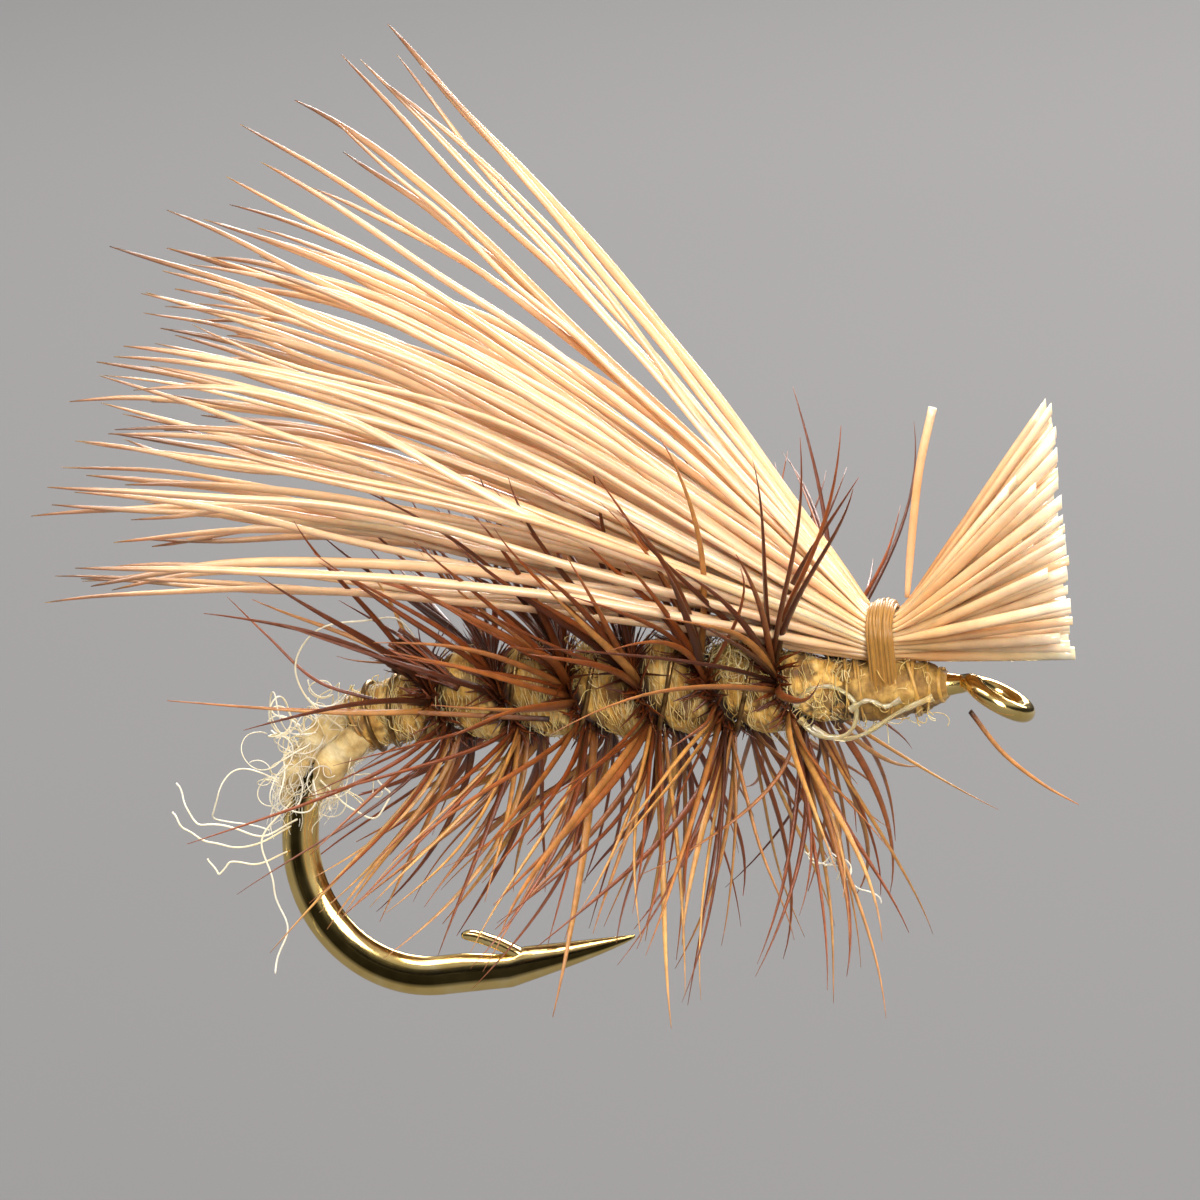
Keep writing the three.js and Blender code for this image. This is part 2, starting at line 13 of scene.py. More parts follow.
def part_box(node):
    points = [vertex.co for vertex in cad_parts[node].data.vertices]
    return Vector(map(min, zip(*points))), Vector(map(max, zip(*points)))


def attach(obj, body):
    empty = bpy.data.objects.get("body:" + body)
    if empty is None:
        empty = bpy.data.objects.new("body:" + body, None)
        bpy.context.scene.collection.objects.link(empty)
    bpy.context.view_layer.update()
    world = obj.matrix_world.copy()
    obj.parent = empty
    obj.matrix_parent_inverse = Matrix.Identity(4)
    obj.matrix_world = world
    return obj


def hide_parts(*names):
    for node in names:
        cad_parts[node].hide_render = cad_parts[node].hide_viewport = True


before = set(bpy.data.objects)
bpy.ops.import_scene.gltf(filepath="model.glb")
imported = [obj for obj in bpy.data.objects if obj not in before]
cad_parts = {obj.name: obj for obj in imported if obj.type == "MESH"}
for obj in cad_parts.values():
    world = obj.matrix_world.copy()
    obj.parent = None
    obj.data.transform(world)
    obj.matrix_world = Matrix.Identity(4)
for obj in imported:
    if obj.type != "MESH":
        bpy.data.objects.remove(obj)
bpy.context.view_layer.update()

MM = 0.001
DEG = math.pi / 180
TURN = 2 * math.pi
UP = np.array([0.0, 0.0, 1.0])
ACROSS = np.array([0.0, 1.0, 0.0])
ALONG = np.array([1.0, 0.0, 0.0])
CAMERA_AZIMUTH = 12 * DEG
# The butts' cut is seen edge on by the camera, so the cut plane faces this way.
CUT_FACING = np.array([math.cos(CAMERA_AZIMUTH), math.sin(CAMERA_AZIMUTH), 0.0])


# -------- places read from the frame
def node_box(name):
    low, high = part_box(name)
    return np.array(low) / MM, np.array(high) / MM


body_high = node_box("dubbed_body")[1]
band_low, band_high = node_box("wing_band")

# The hook, as the CAD frame has it.
WIRE_R = 0.24
EYE_WIRE_R = 0.12
EYE_RING_R = 0.41
EYE_DROP = 32 * DEG
SHANK_LENGTH = 7.55
BEND_HEIGHT = 1.81
BEND_REACH = 1.66
SPEAR_RISE = 3.5 * DEG
SPEAR_LENGTH = 2.7
POINT_TAPER = 1.75
POINT_HALF = 0.018
FORGED_HALF_DEPTH = 0.265
FORGED_HALF_WIDTH = 0.165

SHANK_FRONT = np.array([-EYE_RING_R * math.cos(EYE_DROP), 0, EYE_RING_R * math.sin(EYE_DROP)])
BEND_CENTRE = np.array([SHANK_FRONT[0] - SHANK_LENGTH, 0, SHANK_FRONT[2] - BEND_HEIGHT])
BEND_LENGTH = (BEND_HEIGHT + BEND_REACH) / 2 * (math.pi + SPEAR_RISE)
WIRE_LENGTH = SHANK_LENGTH + BEND_LENGTH + SPEAR_LENGTH

# What is wound on it, at lengths along the wire from the back of the eye.
BODY_FRONT = SHANK_FRONT[0] - body_high[0]
BODY_REAR = SHANK_LENGTH + 0.78
LASHING = 0.74
TAIL_FRONT = BODY_REAR + 0.02
HACKLE_TURNS = 6
HACKLE_FRONT = 1.75
HACKLE_PITCH = 0.93

# The tied bundle of hair, and the band round it.
BAND_X = (band_low[0] + band_high[0]) / 2
BAND_HALF = (band_high[0] - band_low[0]) / 2
BUNDLE_HALF_WIDTH = 0.40
BUNDLE_LOW = 0.615
BUNDLE_HIGH = band_high[2] - 0.155
BUNDLE_MIDDLE = (BUNDLE_LOW + BUNDLE_HIGH) / 2
BUNDLE_HALF_HEIGHT = (BUNDLE_HIGH - BUNDLE_LOW) / 2
HAIR_SPACING = 0.068
BUTT_REACH = 2.25
ROW_HAIRS = (5, 7, 8, 8, 7, 5)


# -------- numbers
def mix(a, b, t):
    return a + (b - a) * t


def smooth(t):
    t = np.clip(t, 0, 1)
    return t * t * (3 - 2 * t)


def steps(count):
    return np.linspace(0, 1, count)


def unit(v):
    return v / np.maximum(np.linalg.norm(v, axis=-1, keepdims=True), 1e-12)


def seeded(name):
    """A random source that depends only on the piece's name."""
    return np.random.default_rng(sum(ord(c) * (i + 7) for i, c in enumerate(name)))


# -------- the hook wire's line
def wire_at(s):
    """Centre, outward direction and tangent of the wire at lengths s from the back of the eye."""
    s = np.asarray(s, float)
    turned = np.clip((s - SHANK_LENGTH) / BEND_LENGTH, 0, 1) * (math.pi + SPEAR_RISE)
    across, along = np.sin(turned), np.cos(turned)
    zero = np.zeros_like(s)
    tangent = unit(np.stack([-BEND_REACH * along, zero, -BEND_HEIGHT * across], -1))
    outward = np.stack([tangent[..., 2], zero, -tangent[..., 0]], -1)
    shank = SHANK_FRONT + tangent * s[..., None]
    bent = BEND_CENTRE + np.stack([-BEND_REACH * across, zero, BEND_HEIGHT * along], -1)
    bent = bent + tangent * np.maximum(0, s - SHANK_LENGTH - BEND_LENGTH)[..., None]
    return np.where((s <= SHANK_LENGTH)[..., None], shank, bent), outward, tangent


def around_wire(s, radius, angle):
    """Points round the wire: angle 0 is on top of the shank, growing over the far side."""
    centre, outward, _ = wire_at(s)
    rise, aside = radius * np.cos(angle), radius * np.sin(angle)
    return centre + outward * rise[..., None] + ACROSS * aside[..., None]


# -------- meshes
def add_object(name, data):
    made = bpy.data.objects.new(name, data)
    bpy.context.scene.collection.objects.link(made)
    return made


def write_mesh(name, points, faces_by_size, tone, along, uvs, flat_last=False):
    """One mesh from points in mm and groups of equal-sided faces, with its attributes and UVs."""
    mesh = bpy.data.meshes.new(name)
    loops = np.concatenate([f.ravel() for f in faces_by_size])
    sizes = np.concatenate([np.full(len(f), f.shape[1]) for f in faces_by_size])
    starts = np.concatenate([[0], np.cumsum(sizes)[:-1]])
    points = points.reshape(-1, 3)
    mesh.vertices.add(len(points))
    mesh.vertices.foreach_set("co", (points * MM).astype(np.float32).ravel())
    mesh.loops.add(len(loops))
    mesh.loops.foreach_set("vertex_index", loops.astype(np.int32))
    mesh.polygons.add(len(sizes))
    mesh.polygons.foreach_set("loop_start", starts.astype(np.int32))
    soft = np.ones(len(sizes), bool)
    if flat_last:
        soft[len(faces_by_size[0]):] = False
    mesh.polygons.foreach_set("use_smooth", soft)
    for label, values in (("tone", tone), ("along", along)):
        layer = mesh.attributes.new(label, "FLOAT", "POINT")
        layer.data.foreach_set("value", values.astype(np.float32).ravel())
    layer = mesh.uv_layers.new(name="OFBake")
    layer.data.foreach_set("uv", np.concatenate([u.reshape(-1, 2) for u in uvs]).astype(np.float32).ravel())
    mesh.update(calc_edges=True)
    mesh.validate()
    return add_object(name, mesh)


def ring_angles(sides, shift=0.0):
    return TURN * (np.arange(sides) + shift) / sides


def ring_ways(points, angle, reference, flatness=np.ones((1, 1))):
    """The ways from strands' lines out to their rings' points, turned as little as possible along them."""
    tangent = unit(np.gradient(points, axis=1))
    side = np.empty_like(points)
    current = np.broadcast_to(reference, points[:, 0].shape).astype(float)
    for k in range(points.shape[1]):
        t = tangent[:, k]
        current = unit(current - t * (current * t).sum(-1, keepdims=True))
        side[:, k] = current
    third = np.cross(tangent, side)
    return (np.cos(angle)[:, None] * side[:, :, None]
            + flatness[..., None, None] * np.sin(angle)[:, None] * third[:, :, None])


def tube_faces(stations, sides):
    """A tube's side faces, their UVs from 0 to 1, and its two end faces."""
    k = np.arange(stations - 1)[:, None] * sides
    i = np.arange(sides)[None, :]
    j = (i + 1) % sides
    quads = np.stack([k + i, k + j, k + sides + j, k + sides + i], -1)
    u = np.stack([i, i + 1, i + 1, i], -1) / sides + 0 * k[..., None]
    v = np.stack([k, k, k + sides, k + sides], -1) / sides / (stations - 1) + 0 * i[..., None]
    ends = np.stack([i[0, ::-1], (stations - 1) * sides + i[0]])
    return quads.reshape(-1, 4), np.stack([u, v], -1).reshape(-1, 4, 2), ends


def end_uv(sides, size):
    angle = ring_angles(sides)
    return np.stack([np.cos(angle), np.sin(angle)], -1) * size


def strands(name, points, widths, sides, reference=(0.137, 0.211, 0.968), flatness=1.0, tone=0.5, along=None,
            cut=False, square=False):
    """A mesh of many closed strands. points is (strand, station, 3); widths are full widths.

    tone is for each strand or each station, and along is 0 at the root and 1 at the tip unless it is given.
    cut keeps the ends crisp, and square turns the last end to face along CUT_FACING, as scissors leave it.
    """
    count, stations = points.shape[:2]
    shape = (count, stations)
    ways = ring_ways(points, ring_angles(sides), reference, np.broadcast_to(flatness, shape))
    ring = points[:, :, None] + (np.broadcast_to(widths, shape) / 2)[..., None, None] * ways
    if square:
        heading = unit(points[:, -1] - points[:, -2])
        short = (points[:, -1:] - ring[:, -1]) @ CUT_FACING
        ring[:, -1] += heading[:, None] * (short / (heading @ CUT_FACING)[:, None])[..., None]
    base = (np.arange(count) * stations * sides)[:, None, None]
    quads, strip, ends = tube_faces(stations, sides)
    faces = [(base + quads).reshape(-1, 4), (base + ends).transpose(1, 0, 2).reshape(-1, sides)]

    # Each strand has a cell of its own in the UV square.
    columns = max(1, math.ceil(math.sqrt(count * 3)))
    rows = math.ceil(count / columns)
    cell = np.arange(count)
    corner = np.stack([cell % columns / columns, cell // columns / rows], -1)[:, None]
    size = np.array([0.84 / columns, 0.84 / rows])
    side_uv = corner[:, None] + strip * size + size * 0.06
    cap_uv = np.concatenate([corner + size * at + end_uv(sides, size * 0.02) for at in (0.03, 1.09)])

    tone = np.asarray(tone, float)
    tone = np.broadcast_to(tone.reshape(tone.shape + (1,) * (3 - tone.ndim)), (*shape, sides))
    run = np.broadcast_to((steps(stations) if along is None else along)[:, None], (*shape, sides))
    return write_mesh(name, ring, faces, tone, run, [side_uv, cap_uv], cut)


def skin(name, rings, tone):
    """One closed tube whose skin runs over (station, side, 3) rings."""
    stations, sides = rings.shape[:2]
    quads, strip, ends = tube_faces(stations, sides)
    cap_uv = np.array([[0.96, 0.3], [0.96, 0.7]])[:, None] + end_uv(sides, 0.02)
    run = np.repeat(steps(stations), sides)
    tone = np.broadcast_to(tone, (stations, sides))
    return write_mesh(name, rings, [quads, ends], tone, run, [strip * 0.9 + 0.02, cap_uv])


def bezier(a, b, c, d, t):
    """Cubic curves: the four ends are (n, 3) and t is (k,), giving (n, k, 3)."""
    t = np.asarray(t)[None, :, None]
    a, b, c, d = (np.asarray(p, float)[:, None] for p in (a, b, c, d))
    return (1 - t) ** 3 * a + 3 * (1 - t) ** 2 * t * b + 3 * (1 - t) * t * t * c + t ** 3 * d


def through(knots, stations):
    """One smooth line through the knots, as (1, stations, 3)."""
    knots = np.asarray(knots, float)
    ends = np.vstack([2 * knots[0] - knots[1], knots, 2 * knots[-1] - knots[-2]])
    t = np.linspace(0, len(knots) - 1 - 1e-9, stations)
    i = t.astype(int)
    f = (t - i)[:, None]
    p0, p1, p2, p3 = (ends[i + n] for n in range(4))
    square, cube = (2 * p0 - 5 * p1 + 4 * p2 - p3) * f ** 2, (3 * p1 - p0 - 3 * p2 + p3) * f ** 3
    return 0.5 * (2 * p1 + (p2 - p0) * f + square + cube)[None]


def waver(rng, count, stations, amount, waves):
    """Smooth sideways wander, nothing at the root and the full amount at the tip."""
    t = steps(stations)[None, :, None]
    total = np.zeros((count, stations, 3))
    for _ in range(3):
        rate = rng.uniform(0.4, 1, (count, 1, 3)) * waves
        phase = rng.uniform(0, TURN, (count, 1, 3))
        total += rng.normal(0, 1, (count, 1, 3)) * (np.sin(TURN * rate * t + phase) - np.sin(phase)) / 3
    return total * amount * t ** 0.7


def wandering(rng, starts, directions, stations, step, curl, pull=0.0):
    """Curly fibres: each takes short steps while its heading turns about a slowly changing axis."""
    count = len(starts)
    heading = unit(np.asarray(directions, float))
    axis = unit(rng.normal(size=(count, 3)))
    points = [np.asarray(starts, float)]
    curl = np.broadcast_to(curl, (count,))[:, None]
    step = np.broadcast_to(step, (count,))[:, None]
    for _ in range(stations - 1):
        axis = unit(axis + rng.normal(0, 0.22, (count, 3)))
        heading = unit(heading + np.cross(axis, heading) * curl + pull * (points[0] - points[-1]))
        points.append(points[-1] + heading * step)
    return np.stack(points, 1)


def dress(piece, look, slot, *nodes):
    """Gives a piece its material and its place on the body, and hides the CAD nodes it stands for. The slot
    argument is not used.
    """
    piece.data.materials.append(look)
    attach(piece, "root")
    if nodes:
        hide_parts(*nodes)


# -------- materials
class Nodes:
    """Adds nodes to one node tree."""

    def __init__(self, tree):
        self.tree = tree

    def node(self, kind, **settings):
        made = self.tree.nodes.new(kind)
        for key, value in settings.items():
            if key in made.inputs:
                made.inputs[key].default_value = value
            else:
                setattr(made, key, value)
        return made

    def link(self, source, target):
        self.tree.links.new(source, target)

    def ramp(self, factor, stops):
        """Colours between stops, each a position and its red, green and blue."""
        made = self.node("ShaderNodeValToRGB")
        elements = made.color_ramp.elements
        while len(elements) < len(stops):
            elements.new(0.5)
        for element, (position, *colour) in zip(elements, stops):
            element.position = position
            element.color = (*colour, 1)
        self.link(factor, made.inputs["Fac"])
        return made.outputs["Color"]


class Look(Nodes):
    """A node material under construction, with one Principled shader."""

    def __init__(self, name):
        self.material = bpy.data.materials.new(name)
        self.material.use_nodes = True
        super().__init__(self.material.node_tree)
        self.shader = self.tree.nodes["Principled BSDF"]

    def attribute(self, name):
        return self.node("ShaderNodeAttribute", attribute_name=name).outputs["Fac"]

    def blend(self, factor, a, b, kind="MIX"):
        made = self.node("ShaderNodeMix", data_type="RGBA", blend_type=kind)
        for socket, value in ((made.inputs[0], factor), (made.inputs[6], a), (made.inputs[7], b)):
            if isinstance(value, bpy.types.NodeSocket):
                self.link(value, socket)
            else:
                socket.default_value = value if isinstance(value, float) else (*value, 1)
        return made.outputs[2]

    def noise(self, scale, detail=3, roughness=0.6, stretch=None):
        """Noise in the row frame, or along the strand's own strip when stretch is given."""
        if stretch is None:
            place = self.node("ShaderNodeTexCoord").outputs["Object"]
        else:
            mapping = self.node("ShaderNodeMapping", Scale=stretch)
            self.link(self.node("ShaderNodeUVMap", uv_map="OFBake").outputs["UV"], mapping.inputs["Vector"])
            place = mapping.outputs["Vector"]
        made = self.node("ShaderNodeTexNoise", Scale=scale, Detail=detail, Roughness=roughness)
        self.link(place, made.inputs["Vector"])
        return made.outputs["Fac"]

    def bump(self, height, distance):
        made = self.node("ShaderNodeBump", Strength=1.0, Distance=distance)
        self.link(height, made.inputs["Height"])
        self.link(made.outputs["Normal"], self.shader.inputs["Normal"])

    def colour(self, socket):
        self.link(socket, self.shader.inputs["Base Color"])

    def finish(self, **values):
        for key, value in values.items():
            self.shader.inputs[key.replace("_", " ")].default_value = value
        return self.material


def strand_look(name, pale, dark, mottle, mottle_scale, grain, grain_depth, middle=None, **values):
    """Strands whose colour runs from root to tip, between a pale and a dark version by strand."""
    look = Look(name)
    along, tone = look.attribute("along"), look.attribute("tone")
    if middle is None:
        base = look.blend(tone, look.ramp(along, pale), look.ramp(along, dark))
    else:
        lower = look.ramp(tone, [(0.0, 0, 0, 0), (0.5, 1, 1, 1)])
        upper = look.ramp(tone, [(0.5, 0, 0, 0), (1.0, 1, 1, 1)])
        first = look.blend(lower, look.ramp(along, pale), look.ramp(along, middle))
        base = look.blend(upper, first, look.ramp(along, dark))
    cloud = look.noise(mottle_scale, 4)
    shade = look.ramp(cloud, [(0.3, *(1 - mottle,) * 3), (0.7, *(1 + mottle * 0.4,) * 3)])
    look.colour(look.blend(1.0, base, shade, "MULTIPLY"))
    look.bump(look.noise(1.0, 2, stretch=grain), grain_depth)
    return look.finish(IOR=1.5, **values)


def soft_light(amount, radius_mm, colour):
    """Settings for light that passes into a strand and out again."""
    return {
        "Subsurface_Weight": amount,
        "Subsurface_Radius": colour,
        "Subsurface_Scale": radius_mm * MM,
    }


# Along each hair, 0 at the wing's tip and 1 at the butt's cut end: the dark tip is the hair's own colour;
# the darker orange stretch from 0.70 to 0.82, beside the band, is painted shade.
hair_look = strand_look(
    "elk_hair",
    [(0.0, 0.12, 0.06, 0.03), (0.025, 0.44, 0.24, 0.12), (0.085, 0.78, 0.54, 0.32), (0.55, 0.88, 0.65, 0.43),
     (0.70, 0.82, 0.54, 0.30), (0.82, 0.78, 0.47, 0.22), (0.93, 0.88, 0.65, 0.41), (1.0, 0.95, 0.82, 0.64)],
    [(0.0, 0.03, 0.014, 0.008), (0.045, 0.18, 0.08, 0.035), (0.14, 0.60, 0.34, 0.16),
     (0.55, 0.74, 0.45, 0.23), (0.70, 0.64, 0.34, 0.14), (0.82, 0.58, 0.28, 0.10), (0.93, 0.72, 0.42, 0.19),
     (1.0, 0.84, 0.58, 0.34)],
    mottle=0.16, mottle_scale=2600, grain=(170, 14, 1), grain_depth=6e-6,
    Roughness=0.24, **soft_light(0.6, 0.14, (1.0, 0.62, 0.32)), Coat_Weight=0.4, Coat_Roughness=0.12,
)
barb_look = strand_look(
    "hackle_barb",
    [(0.0, 0.05, 0.016, 0.007), (0.05, 0.26, 0.09, 0.02), (0.2, 0.60, 0.29, 0.07), (0.8, 0.70, 0.38, 0.11),
     (1.0, 0.48, 0.22, 0.08)],
    [(0.0, 0.010, 0.003, 0.002), (0.12, 0.028, 0.007, 0.003), (0.35, 0.075, 0.018, 0.006),
     (0.8, 0.13, 0.032, 0.010), (1.0, 0.16, 0.05, 0.02)],
    middle=[(0.0, 0.018, 0.005, 0.003), (0.07, 0.08, 0.017, 0.005), (0.25, 0.23, 0.050, 0.008),
            (0.8, 0.31, 0.076, 0.013), (1.0, 0.25, 0.075, 0.024)],
    mottle=0.35, mottle_scale=5200, grain=(900, 60, 1), grain_depth=4e-6,
    Roughness=0.30, **soft_light(0.25, 0.06, (1.0, 0.35, 0.06)), Coat_Weight=0.12, Coat_Roughness=0.18,
)
stem_look = strand_look(
    "hackle_stem",
    [(0.0, 0.05, 0.018, 0.009), (1.0, 0.06, 0.02, 0.01)],
    [(0.0, 0.03, 0.011, 0.006), (1.0, 0.035, 0.012, 0.006)],
    mottle=0.3, mottle_scale=7000, grain=(40, 300, 1), grain_depth=3e-6, Roughness=0.42,
)
fur_look = strand_look(
    "dubbing_fibre",
    [(0.0, 0.92, 0.62, 0.20), (0.5, 0.96, 0.72, 0.30), (1.0, 0.97, 0.82, 0.48)],
    [(0.0, 0.46, 0.22, 0.035), (0.5, 0.60, 0.33, 0.07), (1.0, 0.70, 0.44, 0.14)],
    mottle=0.3, mottle_scale=2600, grain=(600, 40, 1), grain_depth=1.5e-6,
    Roughness=0.5, **soft_light(0.5, 0.06, (1.0, 0.72, 0.36)),
)
curl_look = strand_look(
    "pale_fibre",
    [(0.0, 0.80, 0.69, 0.48), (1.0, 0.88, 0.82, 0.68)], [(0.0, 0.66, 0.50, 0.26), (1.0, 0.78, 0.64, 0.40)],
    mottle=0.2, mottle_scale=2600, grain=(300, 20, 1), grain_depth=1e-6,
    Roughness=0.35, **soft_light(0.55, 0.06, (1.0, 0.86, 0.62)),
)
thread_look = strand_look(
    "tying_thread",
    [(0.0, 0.70, 0.42, 0.09), (1.0, 0.72, 0.44, 0.10)], [(0.0, 0.36, 0.17, 0.025), (1.0, 0.34, 0.16, 0.025)],
    mottle=0.2, mottle_scale=9000, grain=(160, 900, 1), grain_depth=2e-6,
    Roughness=0.34, **soft_light(0.25, 0.03, (1.0, 0.6, 0.2)), Sheen_Weight=0.2, Sheen_Tint=(1, 0.9, 0.6, 1),
)


def core_look(name, dark, middle, light, shade_and_dark_patches):
    """Packed fur: cloudy patches, streaked round the shank, with a painted shade colour (and darker patches)
    blended in by tone.
    """
    look = Look(name)
    cloud = look.ramp(look.noise(3600, 5), [(0.32, *dark), (0.5, *middle), (0.68, *light)])
    streak = look.noise(1.0, 5, 0.7, stretch=(3, 260, 1))
    streak = look.ramp(streak, [(0.3, 0.80, 0.80, 0.80), (0.7, 1.12, 1.12, 1.12)])
    lit = look.blend(1.0, cloud, streak, "MULTIPLY")
    look.colour(look.blend(look.attribute("tone"), lit, shade_and_dark_patches))
    look.bump(look.noise(1.0, 6, 0.7, stretch=(9, 420, 1)), 1.1e-5)
    return look.finish(Roughness=0.6, Sheen_Weight=0.1, **soft_light(0.3, 0.10, (1.0, 0.62, 0.25)))


head_look = core_look(
    "head_core", (0.13, 0.055, 0.006), (0.31, 0.16, 0.022), (0.62, 0.38, 0.09), (0.028, 0.017, 0.004))
body_look = core_look(
    "body_core", (0.32, 0.14, 0.015), (0.74, 0.42, 0.08), (0.96, 0.70, 0.26), (0.06, 0.019, 0.006))
tail_look = core_look(
    "tail_core", (0.44, 0.27, 0.08), (0.66, 0.48, 0.20), (0.80, 0.66, 0.37), (0.32, 0.20, 0.07))


def hook_material():
    """Bright bronzed wire: mirror-like, with faint drawing lines and a few duller patches."""
    look = Look("bronzed_wire")
    patch = look.noise(2400, 4)
    bright = look.ramp(patch, [(0.25, 0.80, 0.56, 0.17), (0.55, 0.93, 0.70, 0.27), (0.8, 1.0, 0.84, 0.48)])
    # The dark colour, mixed in by tone on the forged sides, is a painted dark reflection.
    painted_dark_reflection = look.ramp(patch, [(0.3, 0.030, 0.022, 0.007), (0.7, 0.085, 0.062, 0.020)])
    look.colour(look.blend(look.attribute("tone"), bright, painted_dark_reflection))
    rough = look.node("ShaderNodeMapRange", **{"To Min": 0.07, "To Max": 0.2})
    look.link(look.noise(9000, 5), rough.inputs["Value"])
    look.link(rough.outputs["Result"], look.shader.inputs["Roughness"])
    look.bump(look.noise(1.0, 3, stretch=(60, 14, 1)), 1.2e-6)
    return look.finish(Metallic=1.0)


def rib_material():
    look = Look("fine_gold_wire")
    look.colour(look.ramp(look.noise(7000, 3), [(0.3, 0.10, 0.055, 0.018), (0.7, 0.36, 0.22, 0.08)]))
    look.bump(look.noise(9000, 3), 2e-6)
    return look.finish(Metallic=0.85, Roughness=0.3)


def gloss_material():
    """Thread soaked in clear cement: pale, wet and half see-through."""
    look = Look("coated_thread")
    stops = [(0.3, 0.86, 0.62, 0.22), (0.52, 0.95, 0.82, 0.48), (0.75, 0.99, 0.95, 0.84)]
    look.colour(look.ramp(look.noise(3000, 4), stops))
    look.bump(look.noise(1800, 3), 6e-6)
    return look.finish(Roughness=0.06, IOR=1.4, Coat_Weight=1.0, Coat_Roughness=0.03,
                       Transmission_Weight=0.72, **soft_light(0.3, 0.08, (1.0, 0.85, 0.5)))


hook_look = hook_material()
rib_look = rib_material()
gloss_look = gloss_material()


# -------- hook
def wire_section(s):
    """Half depth, half width and how far the flats cut in, at lengths s along the wire."""
    forged = smooth((s - SHANK_LENGTH - BEND_HEIGHT * 60 * DEG) / BEND_HEIGHT)
    taper = np.clip((WIRE_LENGTH - s) / POINT_TAPER, 0, 1) ** 0.8
    full = mix(WIRE_R, FORGED_HALF_DEPTH, forged)
    depth = mix(POINT_HALF, full, taper)
    width = mix(POINT_HALF, WIRE_R, taper)
    flat = np.minimum(mix(width, FORGED_HALF_WIDTH, forged), width)
    return depth, flat, full - depth


def make_hook():
    sides, neck_end, ring_stations = 48, 0.8, 70
    angle = ring_angles(sides, 0.5)
    # The eye: tapered wire leaves the shank, runs once round the ring and closes on its own neck.
    ring_down = np.array([math.cos(EYE_DROP), 0, -math.sin(EYE_DROP)])
    swing = np.linspace(-2.62, 2.86, ring_stations)
    ring = EYE_RING_R * (np.cos(swing)[:, None] * ring_down + np.sin(swing)[:, None] * ACROSS)
    ring = ring + np.cross(ring_down, ACROSS) * np.linspace(0.05, -0.03, ring_stations)[:, None]
    shank_line = wire_at(np.linspace(neck_end, 0.18, 12))[0]
    link_end = unit(ring[1] - ring[0])
    reach = np.linalg.norm(ring[0] - shank_line[-1]) / 2.2
    start, end = shank_line[-1], ring[0]
    link = bezier([start], [start + ALONG * reach], [end - link_end * reach], [end], steps(14)[1:-1])[0]
    eye_line = np.concatenate([shank_line, link, ring])[::-1]
    run = np.concatenate([[0], np.cumsum(np.linalg.norm(np.diff(eye_line, axis=0), axis=1))])
    radius = mix(WIRE_R, EYE_WIRE_R, smooth((run[-1] - run) / 0.75))
    radius[:3] = EYE_WIRE_R * np.array([0.45, 0.8, 0.97])
    ways = ring_ways(eye_line[None], angle, ACROSS + 0.3 * UP)[0]
    eye_rings = eye_line[:, None] + radius[:, None, None] * ways

    # The shank, bend and spear, forged flat round the bend and ground to a long point.
    s = np.concatenate([
        np.linspace(neck_end, SHANK_LENGTH, 30)[1:],
        np.linspace(SHANK_LENGTH, SHANK_LENGTH + BEND_LENGTH, 150)[1:],
        np.linspace(SHANK_LENGTH + BEND_LENGTH, WIRE_LENGTH, 150)[1:],
    ])
    centre, outward, _ = wire_at(s)
    depth, flat, lift = wire_section(s)
    cos, sin = np.cos(angle)[None, :], np.sin(angle)[None, :]
    back = WIRE_LENGTH - s[:, None]
    notch = 0.26 * smooth((back - 1.50) / 0.2) * smooth((2.45 - back) / 0.7)
    height = depth[:, None] * cos * (1 - notch * (cos < 0) * np.abs(cos)) - lift[:, None]
    across = flat[:, None] * sin
    wire_rings = centre[:, None] + outward[:, None] * height[..., None] + ACROSS * across[..., None]
    # The wire's rings start and turn as the eye's last ring does.
    aligned = np.argmin(np.linalg.norm(wire_rings[0] - eye_rings[-1, :1], axis=-1))
    order = (np.arange(sides) + aligned) % sides
    wire_rings = wire_rings[:, order]
    after, before = np.linalg.norm(wire_rings[0, [1, -1]] - eye_rings[-1, 1], axis=-1)
    if after > before:
        wire_rings = wire_rings[:, (-np.arange(sides)) % sides]
    # The forged sides carry a painted dark reflection, darker than the rounded inner and outer edges.
    painted_reflection_band = smooth((0.46 - np.abs(cos - 0.10)) / 0.22) * smooth((s - neck_end) / 1.5)[:, None]
    tone = np.concatenate([np.zeros((len(eye_rings), sides)), painted_reflection_band[:, order]])
    dress(skin("hook_wire", np.concatenate([eye_rings, wire_rings]), tone), hook_look, "hook_wire", "hook")


def make_barb():
    """The sliver of wire raised from the spear towards the bend, thick at its root."""
    centre, outward, tangent = (v[0] for v in wire_at(np.array([WIRE_LENGTH - 1.65])))
    up, back = -outward, -tangent
    t = steps(26)
    length, lift = 1.0, 0.30
    rise = lift * smooth((t - 0.18) / 0.82) ** 0.85 - mix(0.15, 0.06, smooth(t / 0.5))
    line = centre + up * FORGED_HALF_DEPTH + back * (t * length - 0.32)[:, None] + up * rise[:, None]

    def rounded(start, share):
        return np.sqrt(np.clip(1 - ((t - start) / (1 - start)) ** 2 * (t > start) * share, 0.1, 1))

    root = smooth(t / 0.3)
    half_height = mix(0.03, 0.095, root) * mix(1, 0.85, smooth((t - 0.3) / 0.6)) * rounded(0.8, 0.8)
    half_width = mix(0.06, 0.125, root) * mix(1, 0.85, t) * rounded(0.85, 0.7)
    angle = ring_angles(20)
    high, wide = (np.sign(x) * np.abs(x) ** 0.7 for x in (np.cos(angle), np.sin(angle)))
    rings = line[:, None] + up * (half_height[:, None] * high)[..., None] + ACROSS * (
        half_width[:, None] * wide)[..., None]
    dress(skin("hook_barb", rings, 0.0), hook_look, "hook_wire")


